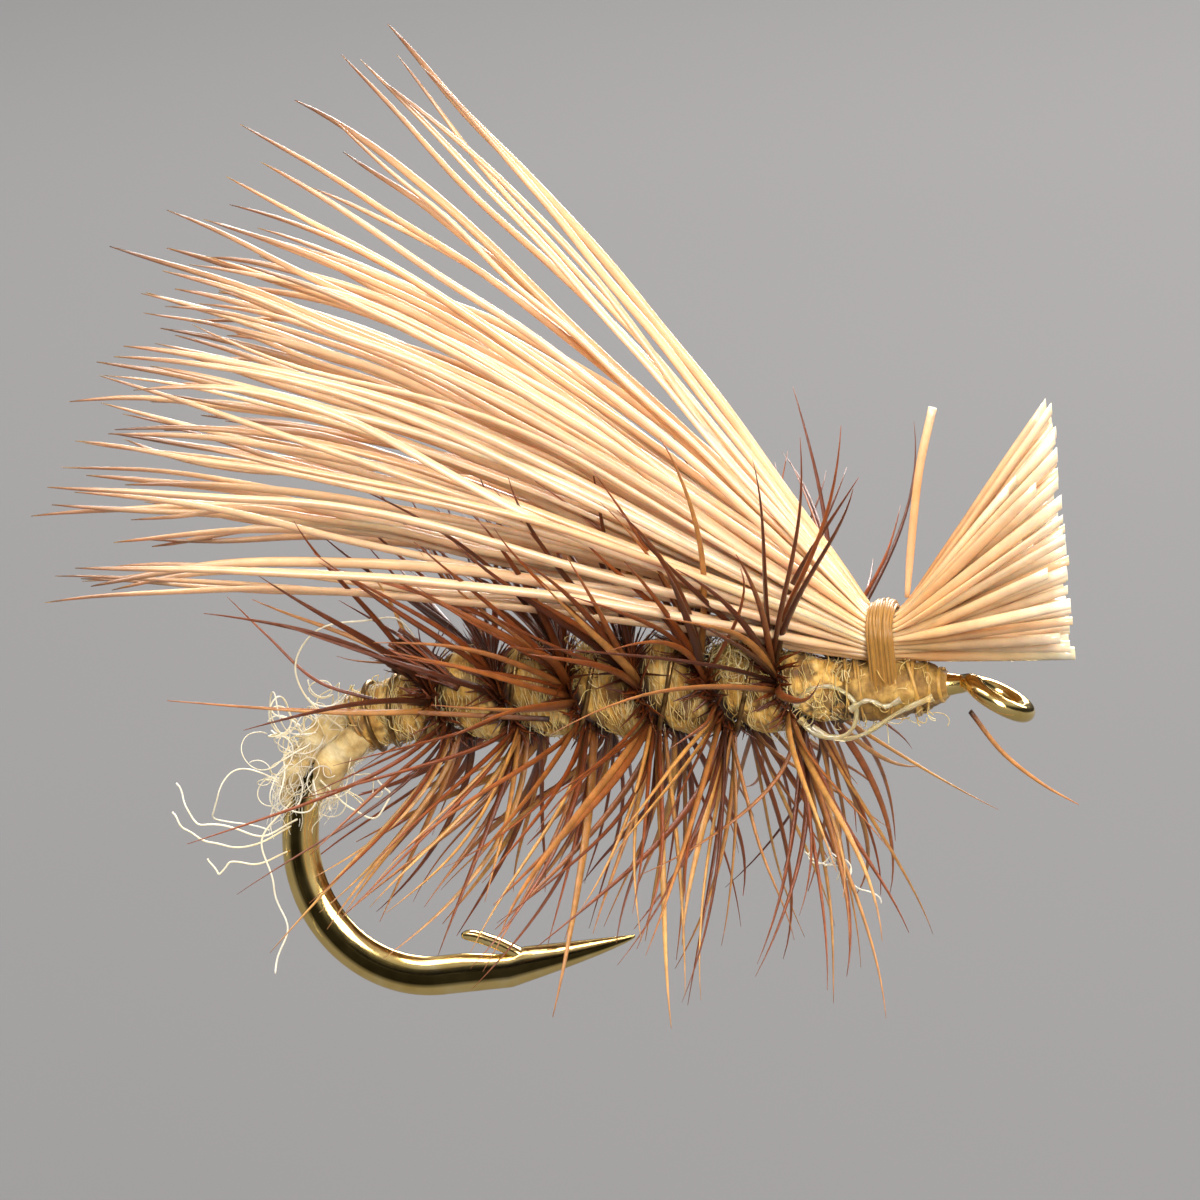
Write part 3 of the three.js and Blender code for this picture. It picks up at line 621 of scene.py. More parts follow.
# -------- body
def wire_grid(first, last, stations, sides):
    """Lengths along the wire and angles round it, for each point of a skin's rings."""
    return np.broadcast_arrays(np.linspace(first, last, stations)[:, None], ring_angles(sides)[None])


def body_crest(s):
    along = np.clip((s - BODY_FRONT) / (BODY_REAR - BODY_FRONT), 0, 1)
    full = mix(0.50, 0.385, along ** 1.6)
    neck = smooth((s - BODY_FRONT) / (HACKLE_FRONT + HACKLE_PITCH - BODY_FRONT))
    return mix(0.37, full, neck)


def furrow(s, angle):
    """How deep in the hackle stem's furrow a place on the body is, from 0 to 1."""
    phase = (s - HACKLE_FRONT) / HACKLE_PITCH - angle / TURN
    covered = smooth((phase + 0.5) * 4) * smooth((HACKLE_TURNS - angle / TURN - phase + 0.3) * 4)
    return covered * (0.5 + 0.5 * np.cos(TURN * phase)) ** 2.2


def lumps(points, scale, octaves=4):
    """Fractal noise from -1 to 1 at each point."""
    found = [noise.fractal(Vector(p), 0.8, 2.1, octaves) for p in points.reshape(-1, 3) * scale]
    return np.array(found).reshape(points.shape[:-1])


def body_radius(s, angle):
    """The fur is heaped higher above the shank, under the wing, than it is below."""
    heap = mix(0.16, 0.30, smooth((s - BODY_FRONT - 1.4) / 1.4))
    heap = heap * smooth((s - BODY_FRONT - 0.3) / 1.2) * smooth((BODY_REAR - 0.5 - s) / 1.3)
    deep = furrow(s, angle)
    return body_crest(s) - 0.13 * deep + heap * smooth(np.cos(angle)) * (1 - 0.8 * deep)


def make_body():
    s, angle = wire_grid(BODY_FRONT - 0.02, BODY_REAR, 300, 120)
    base = around_wire(s, body_radius(s, angle), angle)
    rough = lumps(base, 1.7) * 0.085 + lumps(base + 7, 7.0, 3) * 0.026
    ends = smooth((s - BODY_FRONT) / 0.12) * smooth((BODY_REAR - s) / 0.10)
    radius = mix(0.27, body_radius(s, angle) + rough, ends)
    # Tone: painted shade in the hackle stem's furrows, and darker patches at random from noise.
    shade_and_dark_patches = smooth(furrow(s, angle) * 1.5 - 0.25)
    shade_and_dark_patches = np.maximum(shade_and_dark_patches, 0.75 * smooth(lumps(base + 4, 2.6) * 3 - 0.25))
    dress(skin("dubbed_body", around_wire(s, radius, angle), shade_and_dark_patches), body_look, "dubbing", "dubbed_body")


def make_body_fur():
    """Loose fur over the body: wound round the shank, with loops and ends that stand off it."""
    rng = seeded("body fur")
    tried, stations = 1500, 14
    s0 = rng.uniform(BODY_FRONT, BODY_REAR - 0.05, tried)
    a0 = rng.uniform(0, TURN, tried)
    keep = furrow(s0, a0) < rng.uniform(0.2, 1.0, tried)
    s0, a0 = s0[keep], a0[keep]
    count = len(s0)
    each = (count, 1)
    t = steps(stations)[None]
    sweep = rng.uniform(0.5, 2.3, each) * rng.choice([-1, 1], each, p=[0.25, 0.75])
    slide = rng.normal(0.03, 0.13, each)
    ripple = 0.03 * np.sin(TURN * (t * rng.uniform(0.5, 2.2, each) + rng.uniform(0, 1, each)))
    s = np.clip(s0[:, None] + slide * t + ripple, BODY_FRONT, BODY_REAR)
    angle = a0[:, None] + sweep * t
    stand = np.abs(rng.normal(0, 0.013, each)) + 0.13 * (rng.uniform(0, 1, each) < 0.09)
    arch = np.sin(np.pi * t) ** 0.8 * stand
    flick = (rng.uniform(0, 1, each) < 0.05) * rng.uniform(0.05, 0.24, each) * t ** 3
    radius = body_radius(s, angle) + 0.006 + arch + flick
    points = around_wire(s, radius, angle) + waver(rng, count, stations, 0.022, 1.6)
    widths = 0.0105 * rng.uniform(0.7, 1.4, each) * (1 - 0.5 * t ** 3)
    # Tone: patches along the body, painted shade in the hackle stem's furrows, and paler towards the rear.
    patches = 0.12 * np.sin(s0 * 4.1) + 0.5 * furrow(s0, a0) - 0.25 * smooth((s0 - 5.2) / 1.2)
    tone = np.clip(rng.beta(1.3, 1.8, count) + patches, 0, 1)
    dress(strands("body_fur", points, widths, 5, tone=tone), fur_look, "dubbing")


def make_tufts():
    """Pale tufts teased out of the body between the hackle turns, on top and low on the near side."""
    rng = seeded("tufts")
    for where, count, turns, a0, step in (("top", 120, 1.45, -0.45, 0.040), ("near", 45, 0.5, -1.9, 0.022),
                                          ("rear", 80, 3.5, -0.5, 0.024)):
        s = HACKLE_FRONT + turns * HACKLE_PITCH + rng.normal(0, 0.15, count)
        angle = a0 + rng.normal(0, 0.4, count)
        start = around_wire(s, body_radius(s, angle) - 0.03, angle)
        way = unit(start - wire_at(s)[0]) + UP * 0.4 + rng.normal(0, 0.5, (count, 3))
        curl = rng.uniform(0.12, 0.42, count)
        points = wandering(rng, start, way, 20, step * rng.uniform(0.6, 1.1, count), curl, pull=0.35)
        widths = 0.0115 * rng.uniform(0.7, 1.3, (count, 1))
        tuft = strands(f"tuft_{where}", points, widths, 5, tone=rng.beta(1.1, 1.8, count))
        dress(tuft, fur_look, "dubbing")


# -------- tail dubbing
def make_tail():
    """Two loose ropes of pale fur that straddle the wire as it turns down into the bend."""
    t = steps(90)
    for index, (out_front, out_rear, y_front, y_rear, thick) in enumerate((
            (0.17, 0.23, -0.10, -0.10, 0.25), (-0.13, -0.19, -0.20, -0.22, 0.28))):
        centre, outward, _ = wire_at(TAIL_FRONT - 0.10 + (1.5 - 0.22 * index) * t)
        sway = mix(y_front, y_rear, t) + 0.02 * np.sin(TURN * 2.6 * t + index)
        line = centre + outward * mix(out_front, out_rear, t ** 0.8)[:, None] + ACROSS * sway[:, None]
        way = ring_ways(line[None], ring_angles(40), ACROSS)[0]
        swell = 0.62 + 0.38 * np.sin(np.pi * np.clip(t * 0.9 + 0.1, 0, 1))
        radius = thick * swell * np.sqrt(np.clip(1 - t ** 8, 0.02, 1))
        base = line[:, None] + way * radius[:, None, None] * 0.8
        rough = lumps(base + 3 * index, 2.4) * 0.045 + lumps(base, 9, 3) * 0.010
        rings = base + way * (rough * smooth(radius / 0.12)[:, None])[..., None]
        nodes = ["tail_dubbing"] if index == 0 else []
        dress(skin(f"tail_rope_{index + 1}", rings, 0.0), tail_look, "dubbing", *nodes)


def make_tail_fur():
    """Fur lying along the two ropes, and crinkled fibre ends that stand off them in loops."""
    rng = seeded("tail fur")
    count, stations = 280, 16
    each = (count, 1)
    s0 = TAIL_FRONT - 0.1 + rng.uniform(0, 1.0, count) * 1.2
    angle = rng.uniform(0, TURN, count)
    t = steps(stations)[None]
    s = s0[:, None] + rng.uniform(0.15, 0.7, each) * t
    turn = angle[:, None] + rng.normal(0, 0.9, each) * t
    radius = 0.275 + 0.12 * np.cos(2 * turn + 0.4) + np.abs(rng.normal(0, 0.02, each)) * np.sin(np.pi * t)
    lying = around_wire(s, radius, turn) - ACROSS * 0.06 + waver(rng, count, stations, 0.05, 2.4)
    widths = 0.0105 * rng.uniform(0.7, 1.3, each) * (1 - 0.4 * t ** 3)
    dress(strands("tail_fur", lying, widths, 5, tone=rng.beta(1.2, 1.8, count)), curl_look, "dubbing")

    count = 27
    s0 = TAIL_FRONT + 0.12 + rng.beta(1.3, 1.2, count) * 1.1
    near = rng.uniform(0, 1, count) < 0.8
    side = np.where(near, rng.normal(-0.25, 0.6, count), rng.normal(math.pi + 0.4, 0.5, count))
    start = around_wire(s0, 0.38, side)
    away = unit(start - wire_at(s0)[0]) + rng.normal(0, 0.5, (count, 3))
    step = rng.uniform(0.026, 0.044, count)
    curls = wandering(rng, start, away, 64, step, rng.uniform(0.08, 0.24, count), pull=0.12)
    widths = 0.019 * rng.uniform(0.7, 1.25, (count, 1))
    dress(strands("tail_curls", curls, widths, 6, tone=rng.beta(0.8, 2.2, count)), curl_look, "dubbing")


# -------- rib wire
def make_rib():
    """Close turns that lash the feather's tip, then an open spiral forward."""
    lashing, ribs, per_turn = 2.3, 5, 44
    front, rear = HACKLE_FRONT + HACKLE_PITCH / 2, BODY_REAR - 0.05
    turn = np.linspace(0, lashing + ribs, int((lashing + ribs) * per_turn))
    close = turn < lashing
    s = np.where(close, rear - LASHING * turn / lashing, mix(rear - LASHING, front, (turn - lashing) / ribs))
    angle = TURN * turn + 0.9
    radius = np.maximum(body_radius(s, angle) + 0.03, np.where(close, 0.40, 0.30))
    radius = radius + 0.03 * (1 - smooth(turn - lashing))
    line = around_wire(s, radius, angle)[None]
    dress(strands("rib_wire", line, 0.07, 10, ALONG), rib_look, "rib_wire", "rib_wire")


def make_rear_thread():
    """Close turns of thread between the lashings at the rear of the body, in pale and dark bands."""
    turns, per_turn = 17, 40
    t = steps(turns * per_turn)
    s = mix(BODY_REAR - 0.02, BODY_REAR - LASHING, t) + 0.012 * np.sin(TURN * 5.3 * t)
    line = around_wire(s, 0.385 + 0.008 * np.sin(TURN * 3.7 * t), TURN * turns * t)[None]
    banded = 0.25 + 0.75 * smooth(np.sin(TURN * (BODY_REAR - s) / 0.34 + 0.9) * 1.6)
    dress(strands("rear_thread", line, 0.05, 8, ALONG, 0.6, banded[None]), thread_look, "tying_thread")


# -------- hackle
TURN_BARBS = (54, 52, 50, 47, 45, 43)


def stem_place(index, angle):
    """Length along the wire of the hackle's stem, at an angle of one of its turns."""
    return HACKLE_FRONT + HACKLE_PITCH * (index + angle / TURN)


def stem_seat(s):
    return body_crest(s) - 0.13 + 0.05


def barb_roots(s, angle, above_stem):
    """Barbs' roots at the stem, with the directions out of the wire, along it and round it."""
    root = around_wire(s, stem_seat(s) + above_stem, angle)
    centre, _, tangent = wire_at(s)
    radial = unit(root - centre)
    return root, radial, tangent, np.cross(radial, tangent)


def make_hackle_turn(index):
    """One turn of the feather: its stem in the furrow and the barbs that spring from it."""
    rng = seeded(f"hackle {index}")
    back = index / (HACKLE_TURNS - 1)
    arc = np.linspace(0.01, TURN - 0.01, 90)
    s = stem_place(index, arc)
    stem = around_wire(s, stem_seat(s), arc)[None]
    dress(strands(f"hackle_stem_{index + 1}", stem, 0.095, 10, ALONG, 0.75), stem_look, "hackle")

    count, stations = TURN_BARBS[index], 18
    each = (count, 1)
    swing = (np.arange(count) + rng.uniform(-0.42, 0.42, count)) / count * (TURN - 0.5)
    angle = (math.pi + 0.25 + swing) % TURN
    # The wing pushes the topmost barbs aside, and fewer stand straight out to the sides.
    from_top = (angle + math.pi) % TURN - math.pi
    pushed = np.sign(from_top) * (0.42 + 0.62 * np.abs(from_top))
    from_top = np.where(np.abs(from_top) < 1.1, pushed, from_top)
    level = (np.abs(np.abs(from_top) - 1.6) < 0.42) & (rng.uniform(0, 1, count) < 0.55)
    from_top = np.where(level, np.sign(from_top) * rng.uniform(2.0, 2.85, count), from_top)
    if index >= HACKLE_TURNS - 2:
        # Most near barbs of the last turns pass over to the far side, so that the stub is seen.
        over_stub = (from_top > -1.35) & (from_top < -0.3) & (rng.uniform(0, 1, count) < 0.6)
        from_top = np.where(over_stub, rng.uniform(0.3, 1.3, count), from_top)
    angle = from_top % TURN
    s0 = stem_place(index, angle) + rng.normal(0, 0.018, count)
    root, radial, tangent, sideways = barb_roots(s0, angle, 0.01)
    below = smooth(-np.cos(angle))
    lean = mix(1, 35, back ** 0.85) + rng.normal(0, 1, count) * mix(15, 10, back) - 9 * below * (1 - back)
    lean = np.clip(lean, -34, 60)[:, None] * DEG
    reach = (mix(4.45, 3.75, back) * rng.uniform(0.66, 1.04, count))[:, None]
    skew = rng.normal(0, 0.10, each)
    aim = unit(radial * np.cos(lean) + tangent * np.sin(lean) + sideways * skew)
    bow = tangent * rng.normal(0.05, 0.055, each) + sideways * rng.normal(0, 0.05, each)
    t = steps(stations)
    points = bezier(root, root + (radial * 0.6 + aim * 0.4 - bow) * reach * 0.3,
                    root + (aim * 0.64 - bow * 0.7) * reach, root + (aim + bow * 0.6) * reach, t)
    points = points + waver(rng, count, stations, 0.05, 1.3)
    widths = rng.uniform(0.068, 0.122, each) * (0.8 + 0.2 * smooth(t / 0.2)) * (1 - t ** 2.2) + 0.010
    reference = unit(tangent * rng.normal(0.5, 0.5, each) + sideways * 0.6 + radial * 0.3)
    # Barbs on top get a darker tone (painted shade under the wing) and barbs below a paler one (painted
    # light on the lower barbs).
    tone = np.clip(rng.beta(1.5, 1.4, count) + 0.20 * (np.cos(angle) > 0.2) - 0.15 * below, 0, 1)
    name = f"hackle_turn_{index + 1}"
    dress(strands(name, points, widths, 8, reference, 0.55, tone), barb_look, "hackle", name)


def make_down(index):
    """The short, dark, webby part of the barbs, crowded along the stem and most of all on top, where the
    dark down is also painted shade under the wing.
    """
    rng = seeded(f"down {index}")
    count, on_top, stations = 240, 90, 9
    each = (count, 1)
    angle = rng.uniform(0, TURN, count)
    # The extra down on top is dark partly as painted shade under the wing.
    angle[-on_top:] = rng.normal(0, 0.75, on_top) % TURN
    s0 = stem_place(index, angle) + rng.normal(0, 0.022, count)
    root, radial, tangent, sideways = barb_roots(s0, angle, 0.0)
    aim = unit(radial + tangent * rng.normal(0.25, 0.6, each) + sideways * rng.normal(0, 0.5, each))
    reach = rng.uniform(0.22, 0.62, each) * (1 + 0.5 * np.cos(angle))[:, None]
    t = steps(stations)
    points = bezier(root, root + radial * reach * 0.35, root + aim * reach * 0.7, root + aim * reach, t)
    widths = rng.uniform(0.034, 0.060, each) * (1 - t ** 2) + 0.008
    tone = rng.uniform(0.55, 1.0, count)
    piece = strands(f"hackle_down_{index + 1}", points, widths, 6, sideways, 0.6, tone, 0.05 + 0.3 * t)
    dress(piece, barb_look, "hackle")


def make_stub():
    """The feather's trimmed tip: a short clump of barbs cut off square."""
    rng = seeded("stub")
    low, high = node_box("hackle_tip_stub")
    count, stations = 52, 12
    each = (count, 1)
    root = np.array([high[0] - 0.02, (low[1] + high[1]) / 2 - 0.10, low[2] + 0.06])
    tip = np.array([low[0] + 0.02, (low[1] + high[1]) / 2 - 0.20, high[2] - 0.16])
    way = unit(tip - root)
    wide = unit(np.cross(way, ACROSS)) * (np.linspace(-1, 1, count) + rng.normal(0, 0.08, count))[:, None]
    start = root + wide * 0.06 + ACROSS * rng.normal(0, 0.03, each)
    reach = np.linalg.norm(tip - root) * rng.uniform(0.82, 1.06, each)
    end = start + way * reach + wide * 0.20 + ACROSS * rng.normal(0, 0.07, each)
    t = steps(stations)
    points = bezier(start, start + way * reach * 0.3, end - way * reach * 0.3, end, t)
    widths = rng.uniform(0.05, 0.08, each) * (0.9 + 0.1 * t)
    tone = rng.uniform(0.45, 1.0, count)
    flat_to = ACROSS + 0.2 * ALONG
    piece = strands("hackle_tip_stub", points, widths, 8, flat_to, 0.5, tone, mix(0.12, 0.5, t), cut=True)
    dress(piece, barb_look, "hackle", "hackle_tip_stub")


# -------- wing
def bundle_places():
    """Places of the hairs in the tied bundle: hexagonal packing in an oval, as (y, z)."""
    found = []
    row_height = HAIR_SPACING * 0.866
    for row in range(int(2 * BUNDLE_HALF_HEIGHT / row_height) + 1):
        z = BUNDLE_LOW + row * row_height
        wide = BUNDLE_HALF_WIDTH * math.sqrt(1 - ((z - BUNDLE_MIDDLE) / (BUNDLE_HALF_HEIGHT * 1.12)) ** 2)
        places = (np.arange(-9, 10) + row % 2 / 2) * HAIR_SPACING
        found += [(y, z) for y in places if abs(y) <= wide]
    return np.array(found)


def wing_aim(angle, swing):
    angle, swing = angle * DEG, swing * DEG
    return np.stack([-np.cos(angle) * np.cos(swing), np.cos(angle) * np.sin(swing), np.sin(angle)], -1)


def make_wing():
    """Hairs that fan out behind the band, and their butts, cut on one plane ahead. Angles are degrees."""
    rng = seeded("elk hair wing")
    places = bundle_places()
    count = len(places)
    places = places[np.argsort(places[:, 1] + rng.normal(0, 0.012, count))]
    each = (count, 1)
    level = (np.arange(count) + 0.5) / count
    side = places[:, 0] / BUNDLE_HALF_WIDTH
    rank = np.clip(level + rng.normal(0, 0.075, count), 0, 1)
    overall = np.interp(rank, [0, 0.12, 0.5, 0.8, 0.93, 1.0], [8, 13, 23, 34, 43, 52])
    leave = overall + np.interp(overall, [0, 20, 35, 50], [8, 5, 6, 0]) + rng.normal(0, 1.2, count)
    droop = np.interp(overall, [0, 12, 25, 38, 50], [-8, -11, -13, -14, -3])
    arrive = overall + droop + rng.normal(0, 5.0, count)
    yaw = 25 * side * mix(1, 0.72, rank) + rng.normal(0, 3.0, count)
    length = mix(11.1, 10.3, rank) * (1 - np.abs(rng.normal(0, 0.055, count)))
    long_ones = rng.uniform(0, 1, count) < 0.12
    reach = np.where(long_ones, mix(11.35, 10.6, rank), length)[:, None]
    rear = np.stack([np.full(count, BAND_X - BAND_HALF * 0.9), places[:, 0], places[:, 1]], -1)
    tip = rear + wing_aim(overall, yaw) * reach
    t = steps(34)
    wing = bezier(rear, rear + wing_aim(leave, yaw * 1.25) * reach / 3,
                  tip - wing_aim(arrive, yaw * 0.75) * reach / 3, tip, t)
    unruly = 1 + 1.3 * (rng.uniform(0, 1, (count, 1, 1)) < 0.16)
    wing = wing + waver(rng, count, 34, 0.19, 1.5) * unruly + waver(rng, count, 34, 0.03, 5)

    front = rear + ALONG * BAND_HALF * 1.8
    rise = np.interp(np.clip(level + rng.normal(0, 0.06, count), 0, 1), [0, 0.25, 0.7, 1], [1, 13, 32, 50.5])
    rise = rise - 17 * side ** 2 * (1 - level)
    splay = 31 * side + rng.normal(0, 2.5, count)
    ahead = np.stack([np.ones(count), np.tan(splay * DEG), np.tan(rise * DEG)], -1)
    forward = BUTT_REACH + rng.normal(0, 0.014, count)
    short_ones = rng.uniform(0, 1, count) < 0.10 + 0.25 * level ** 3
    forward = forward - short_ones * rng.uniform(0.15, 0.8, count) * level
    oblique = CUT_FACING[1] / CUT_FACING[0]
    forward = ((forward - front[:, 1] * oblique) / (1 + ahead[:, 1] * oblique))[:, None]
    u = steps(14)
    cut = front + ahead * forward
    butt = bezier(front, front + ALONG * 0.22 + ahead * 0.1, front + ahead * forward * 0.6, cut, u)
    butt = butt + waver(rng, count, 14, 0.014, 0.7)

    points = np.concatenate([wing[:, ::-1], butt], 1)
    thick = rng.uniform(0.108, 0.152, each)
    wing_width = mix(HAIR_SPACING, thick, smooth(t / 0.09))
    taper = np.interp(t, [0, 0.5, 0.8, 0.93, 0.985, 1], [1, 1, 0.84, 0.56, 0.26, 0.09])
    butt_width = mix(HAIR_SPACING, thick * 1.16, smooth(u / 0.42))
    widths = np.concatenate([(wing_width * taper)[:, ::-1], butt_width], 1)
    flat = rng.uniform(0.66, 0.92, each)
    # The lowest quarter of the hairs get a darker tone: painted shade under the bundle.
    tone = np.clip(rng.beta(1.2, 1.9, count) + 0.10 * (level < 0.25), 0, 1)
    reference = unit(rng.normal(0, 1, (count, 3)) * (0.2, 1, 1))
    # The hairs go into one piece for each row of CAD hairs, from the lowest up.
    edges = np.round(np.cumsum([0, *ROW_HAIRS]) / sum(ROW_HAIRS) * count).astype(int)
    node = 1
    for row, hairs in enumerate(ROW_HAIRS):
        these = slice(edges[row], edges[row + 1])
        piece = strands(f"wing_row_{row + 1}", points[these], widths[these], 12, reference[these],
                        flat[these], tone[these], cut=True, square=True)
        dress(piece, hair_look, "elk_hair", *(f"elk_hair_{node + n:02d}" for n in range(hairs)))
        node += hairs


def make_stray_hair():
    low, high = node_box("stray_butt_hair")
    base = np.array([low[0] + 0.06, 0.0, low[2]])
    knots = [base, base + (0.13, -0.03, 0.8), base + (0.30, -0.03, 1.7), (high[0] - 0.07, 0.0, high[2])]
    line = through(knots, 24)
    t = steps(24)
    widths = np.interp(t, [0, 0.2, 1], [0.075, 0.125, 0.14])
    piece = strands("stray_butt_hair", line, widths, 12, ACROSS, 0.85, 0.4, mix(0.62, 0.98, t), cut=True)
    dress(piece, hair_look, "elk_hair", "stray_butt_hair")


# -------- thread at the head
def band_outline(angle, extra):
    """Thread pulled tight round the hair bundle above and the shank below, as (y, z)."""
    half_width, half_height = BUNDLE_HALF_WIDTH + 0.045 + extra, BUNDLE_HALF_HEIGHT + 0.06 + extra
    y, z = np.sin(angle), np.cos(angle)
    reach = np.hypot(half_width * y, half_height * z)
    shank = 0.33 + extra
    upper = reach + (BUNDLE_MIDDLE - SHANK_FRONT[2]) * z > shank
    return (np.where(upper, half_width ** 2 * y / reach, shank * y),
            np.where(upper, BUNDLE_MIDDLE + half_height ** 2 * z / reach, SHANK_FRONT[2] + shank * z))


def make_band():
    """The thread band round the hair: layers of close turns, the last few lying aslant."""
    per_turn = 60
    line = []
    layers = ((11, -0.92, 0.92, 0.0), (10, 0.88, -0.86, 0.026), (8, -0.66, 0.74, 0.050),
              (3, 0.5, -0.55, 0.070))
    for layer, (turns, start, end, extra) in enumerate(layers):
        t = steps(turns * per_turn)
        angle = TURN * turns * t + 1.1 * layer
        uneven = 0.05 * np.sin(angle + layer) + 0.03 * np.sin(TURN * 3.3 * turns * t)
        y, z = band_outline(angle, extra + 0.006 * np.sin(TURN * 2.7 * t * turns))
        line.append(np.stack([BAND_X + BAND_HALF * (mix(start, end, t) + uneven), y, z], -1))
    line = np.concatenate(line)[None]
    widths = 0.041 * (1 + 0.12 * np.sin(np.arange(line.shape[1]) * 0.05))
    dress(strands("wing_band", line, widths, 8, ALONG, 0.8, 1.0), thread_look, "tying_thread", "wing_band")


def make_shank_thread():
    """The thread laid on the shank, close turns from behind the eye to the body."""
    turns, per_turn = 30, 36
    t = steps(turns * per_turn)
    s = mix(0.36, BODY_FRONT + 0.3, t)
    angle = TURN * turns * t
    radius = 0.265 + 0.006 * np.sin(angle * 0.37) - 0.05 * smooth((0.75 - s) / 0.4)
    line = around_wire(s, radius, angle)[None]
    piece = strands("thread_foundation", line, 0.062, 8, ALONG, 0.7, 0.55)
    dress(piece, thread_look, "tying_thread", "thread_foundation")


def make_head():
    """A lumpy core of thread and fur behind the eye and under the hair, with wraps over it and fuzz."""
    start = 0.30
    s, angle = wire_grid(start, BODY_FRONT + 0.35, 110, 64)
    profile = np.interp(s, [start, 0.40, 0.56, 0.78, 1.0, 1.35, 1.75, 1.9],
                        [0.17, 0.235, 0.30, 0.375, 0.41, 0.40, 0.40, 0.34])
    base = around_wire(s, profile, angle)
    radius = profile + lumps(base + 11, 2.2) * 0.10 * smooth((s - start) / 0.4) + lumps(base, 9, 3) * 0.022
    radius = np.minimum(radius, 0.46 - 0.08 * np.cos(angle))
    # Tone: painted shade at the rear of the head, under the hair bundle, broken up by noise.
    shade = smooth((s - 1.28) / 0.3) * smooth(lumps(base + 5, 1.9) * 2.2 + 0.55) * 0.85
    dress(skin("head_core", around_wire(s, radius, angle), shade), head_look, "dubbing")

    turns, per_turn = 13, 44
    t = steps(turns * per_turn)
    s = mix(0.62, 1.60, 0.5 - 0.5 * np.cos(math.pi * 3.4 * t))
    s = s + 0.07 * np.sin(TURN * 4.3 * t) + 0.09 * np.sin(TURN * turns * t)
    radius = np.interp(s, [0.5, 0.75, 1.0, 1.4, 1.7], [0.32, 0.37, 0.40, 0.395, 0.39])
    wound = around_wire(s, radius + 0.03 * np.sin(TURN * 7.7 * t), TURN * turns * t)[None]
    dress(strands("head_wraps", wound, 0.05, 8, ALONG, 0.75, 0.7), thread_look, "tying_thread", "head_wraps")

    rng = seeded("head wraps")
    count = 130
    each = (count, 1)
    s0 = rng.uniform(0.5, BODY_FRONT + 0.3, count)
    start = around_wire(s0, 0.38, rng.uniform(0, TURN, count))
    way = unit(start - wire_at(s0)[0])
    around = np.cross(way, ALONG) * rng.choice([-1, 1], each) + way * rng.normal(0.1, 0.25, each)
    around = around + ALONG * rng.normal(0, 0.4, each)
    step = rng.uniform(0.012, 0.026, count)
    fuzz = wandering(rng, start, around, 18, step, rng.uniform(0.05, 0.25, count), pull=0.5)
    widths = 0.0115 * rng.uniform(0.7, 1.3, each)
    piece = strands("head_fur", fuzz, widths, 5, tone=0.3 + 0.7 * rng.beta(1.2, 1.5, count))
    dress(piece, fur_look, "dubbing")


def make_loops():
    """Two slack loops of glossy, cement-soaked thread under the shank, and a short strand between them."""
    lines = (
        [(-2.64, -0.42, 0.10), (-2.42, -0.46, 0.30), (-2.10, -0.46, 0.33), (-1.84, -0.45, 0.12),
         (-1.86, -0.42, -0.18), (-2.06, -0.38, -0.35), (-2.40, -0.36, -0.30), (-2.60, -0.38, -0.08)],
        [(-2.45, -0.34, -0.22), (-2.15, -0.34, -0.38), (-1.75, -0.35, -0.33), (-1.25, -0.38, -0.05),
         (-0.80, -0.36, 0.12)],
        [(-1.90, -0.45, 0.02), (-1.66, -0.46, 0.13), (-1.42, -0.45, 0.04), (-1.22, -0.43, 0.12)],
    )
    t = steps(90)
    for index, knots in enumerate(lines):
        beads = 1 + 0.35 * np.sin(TURN * (1.6 + index / 2) * t) ** 2
        beads = beads + 1.1 * (np.exp(-t * 9) + np.exp(-(1 - t) * 9))
        piece = strands(f"glossy_loop_{index + 1}", through(knots, 90), 0.062 * beads, 14, ACROSS, 0.85, 0.3)
        dress(piece, gloss_look, "coated_thread", *([f"thread_loop_{index + 1}"] if index < 2 else []))


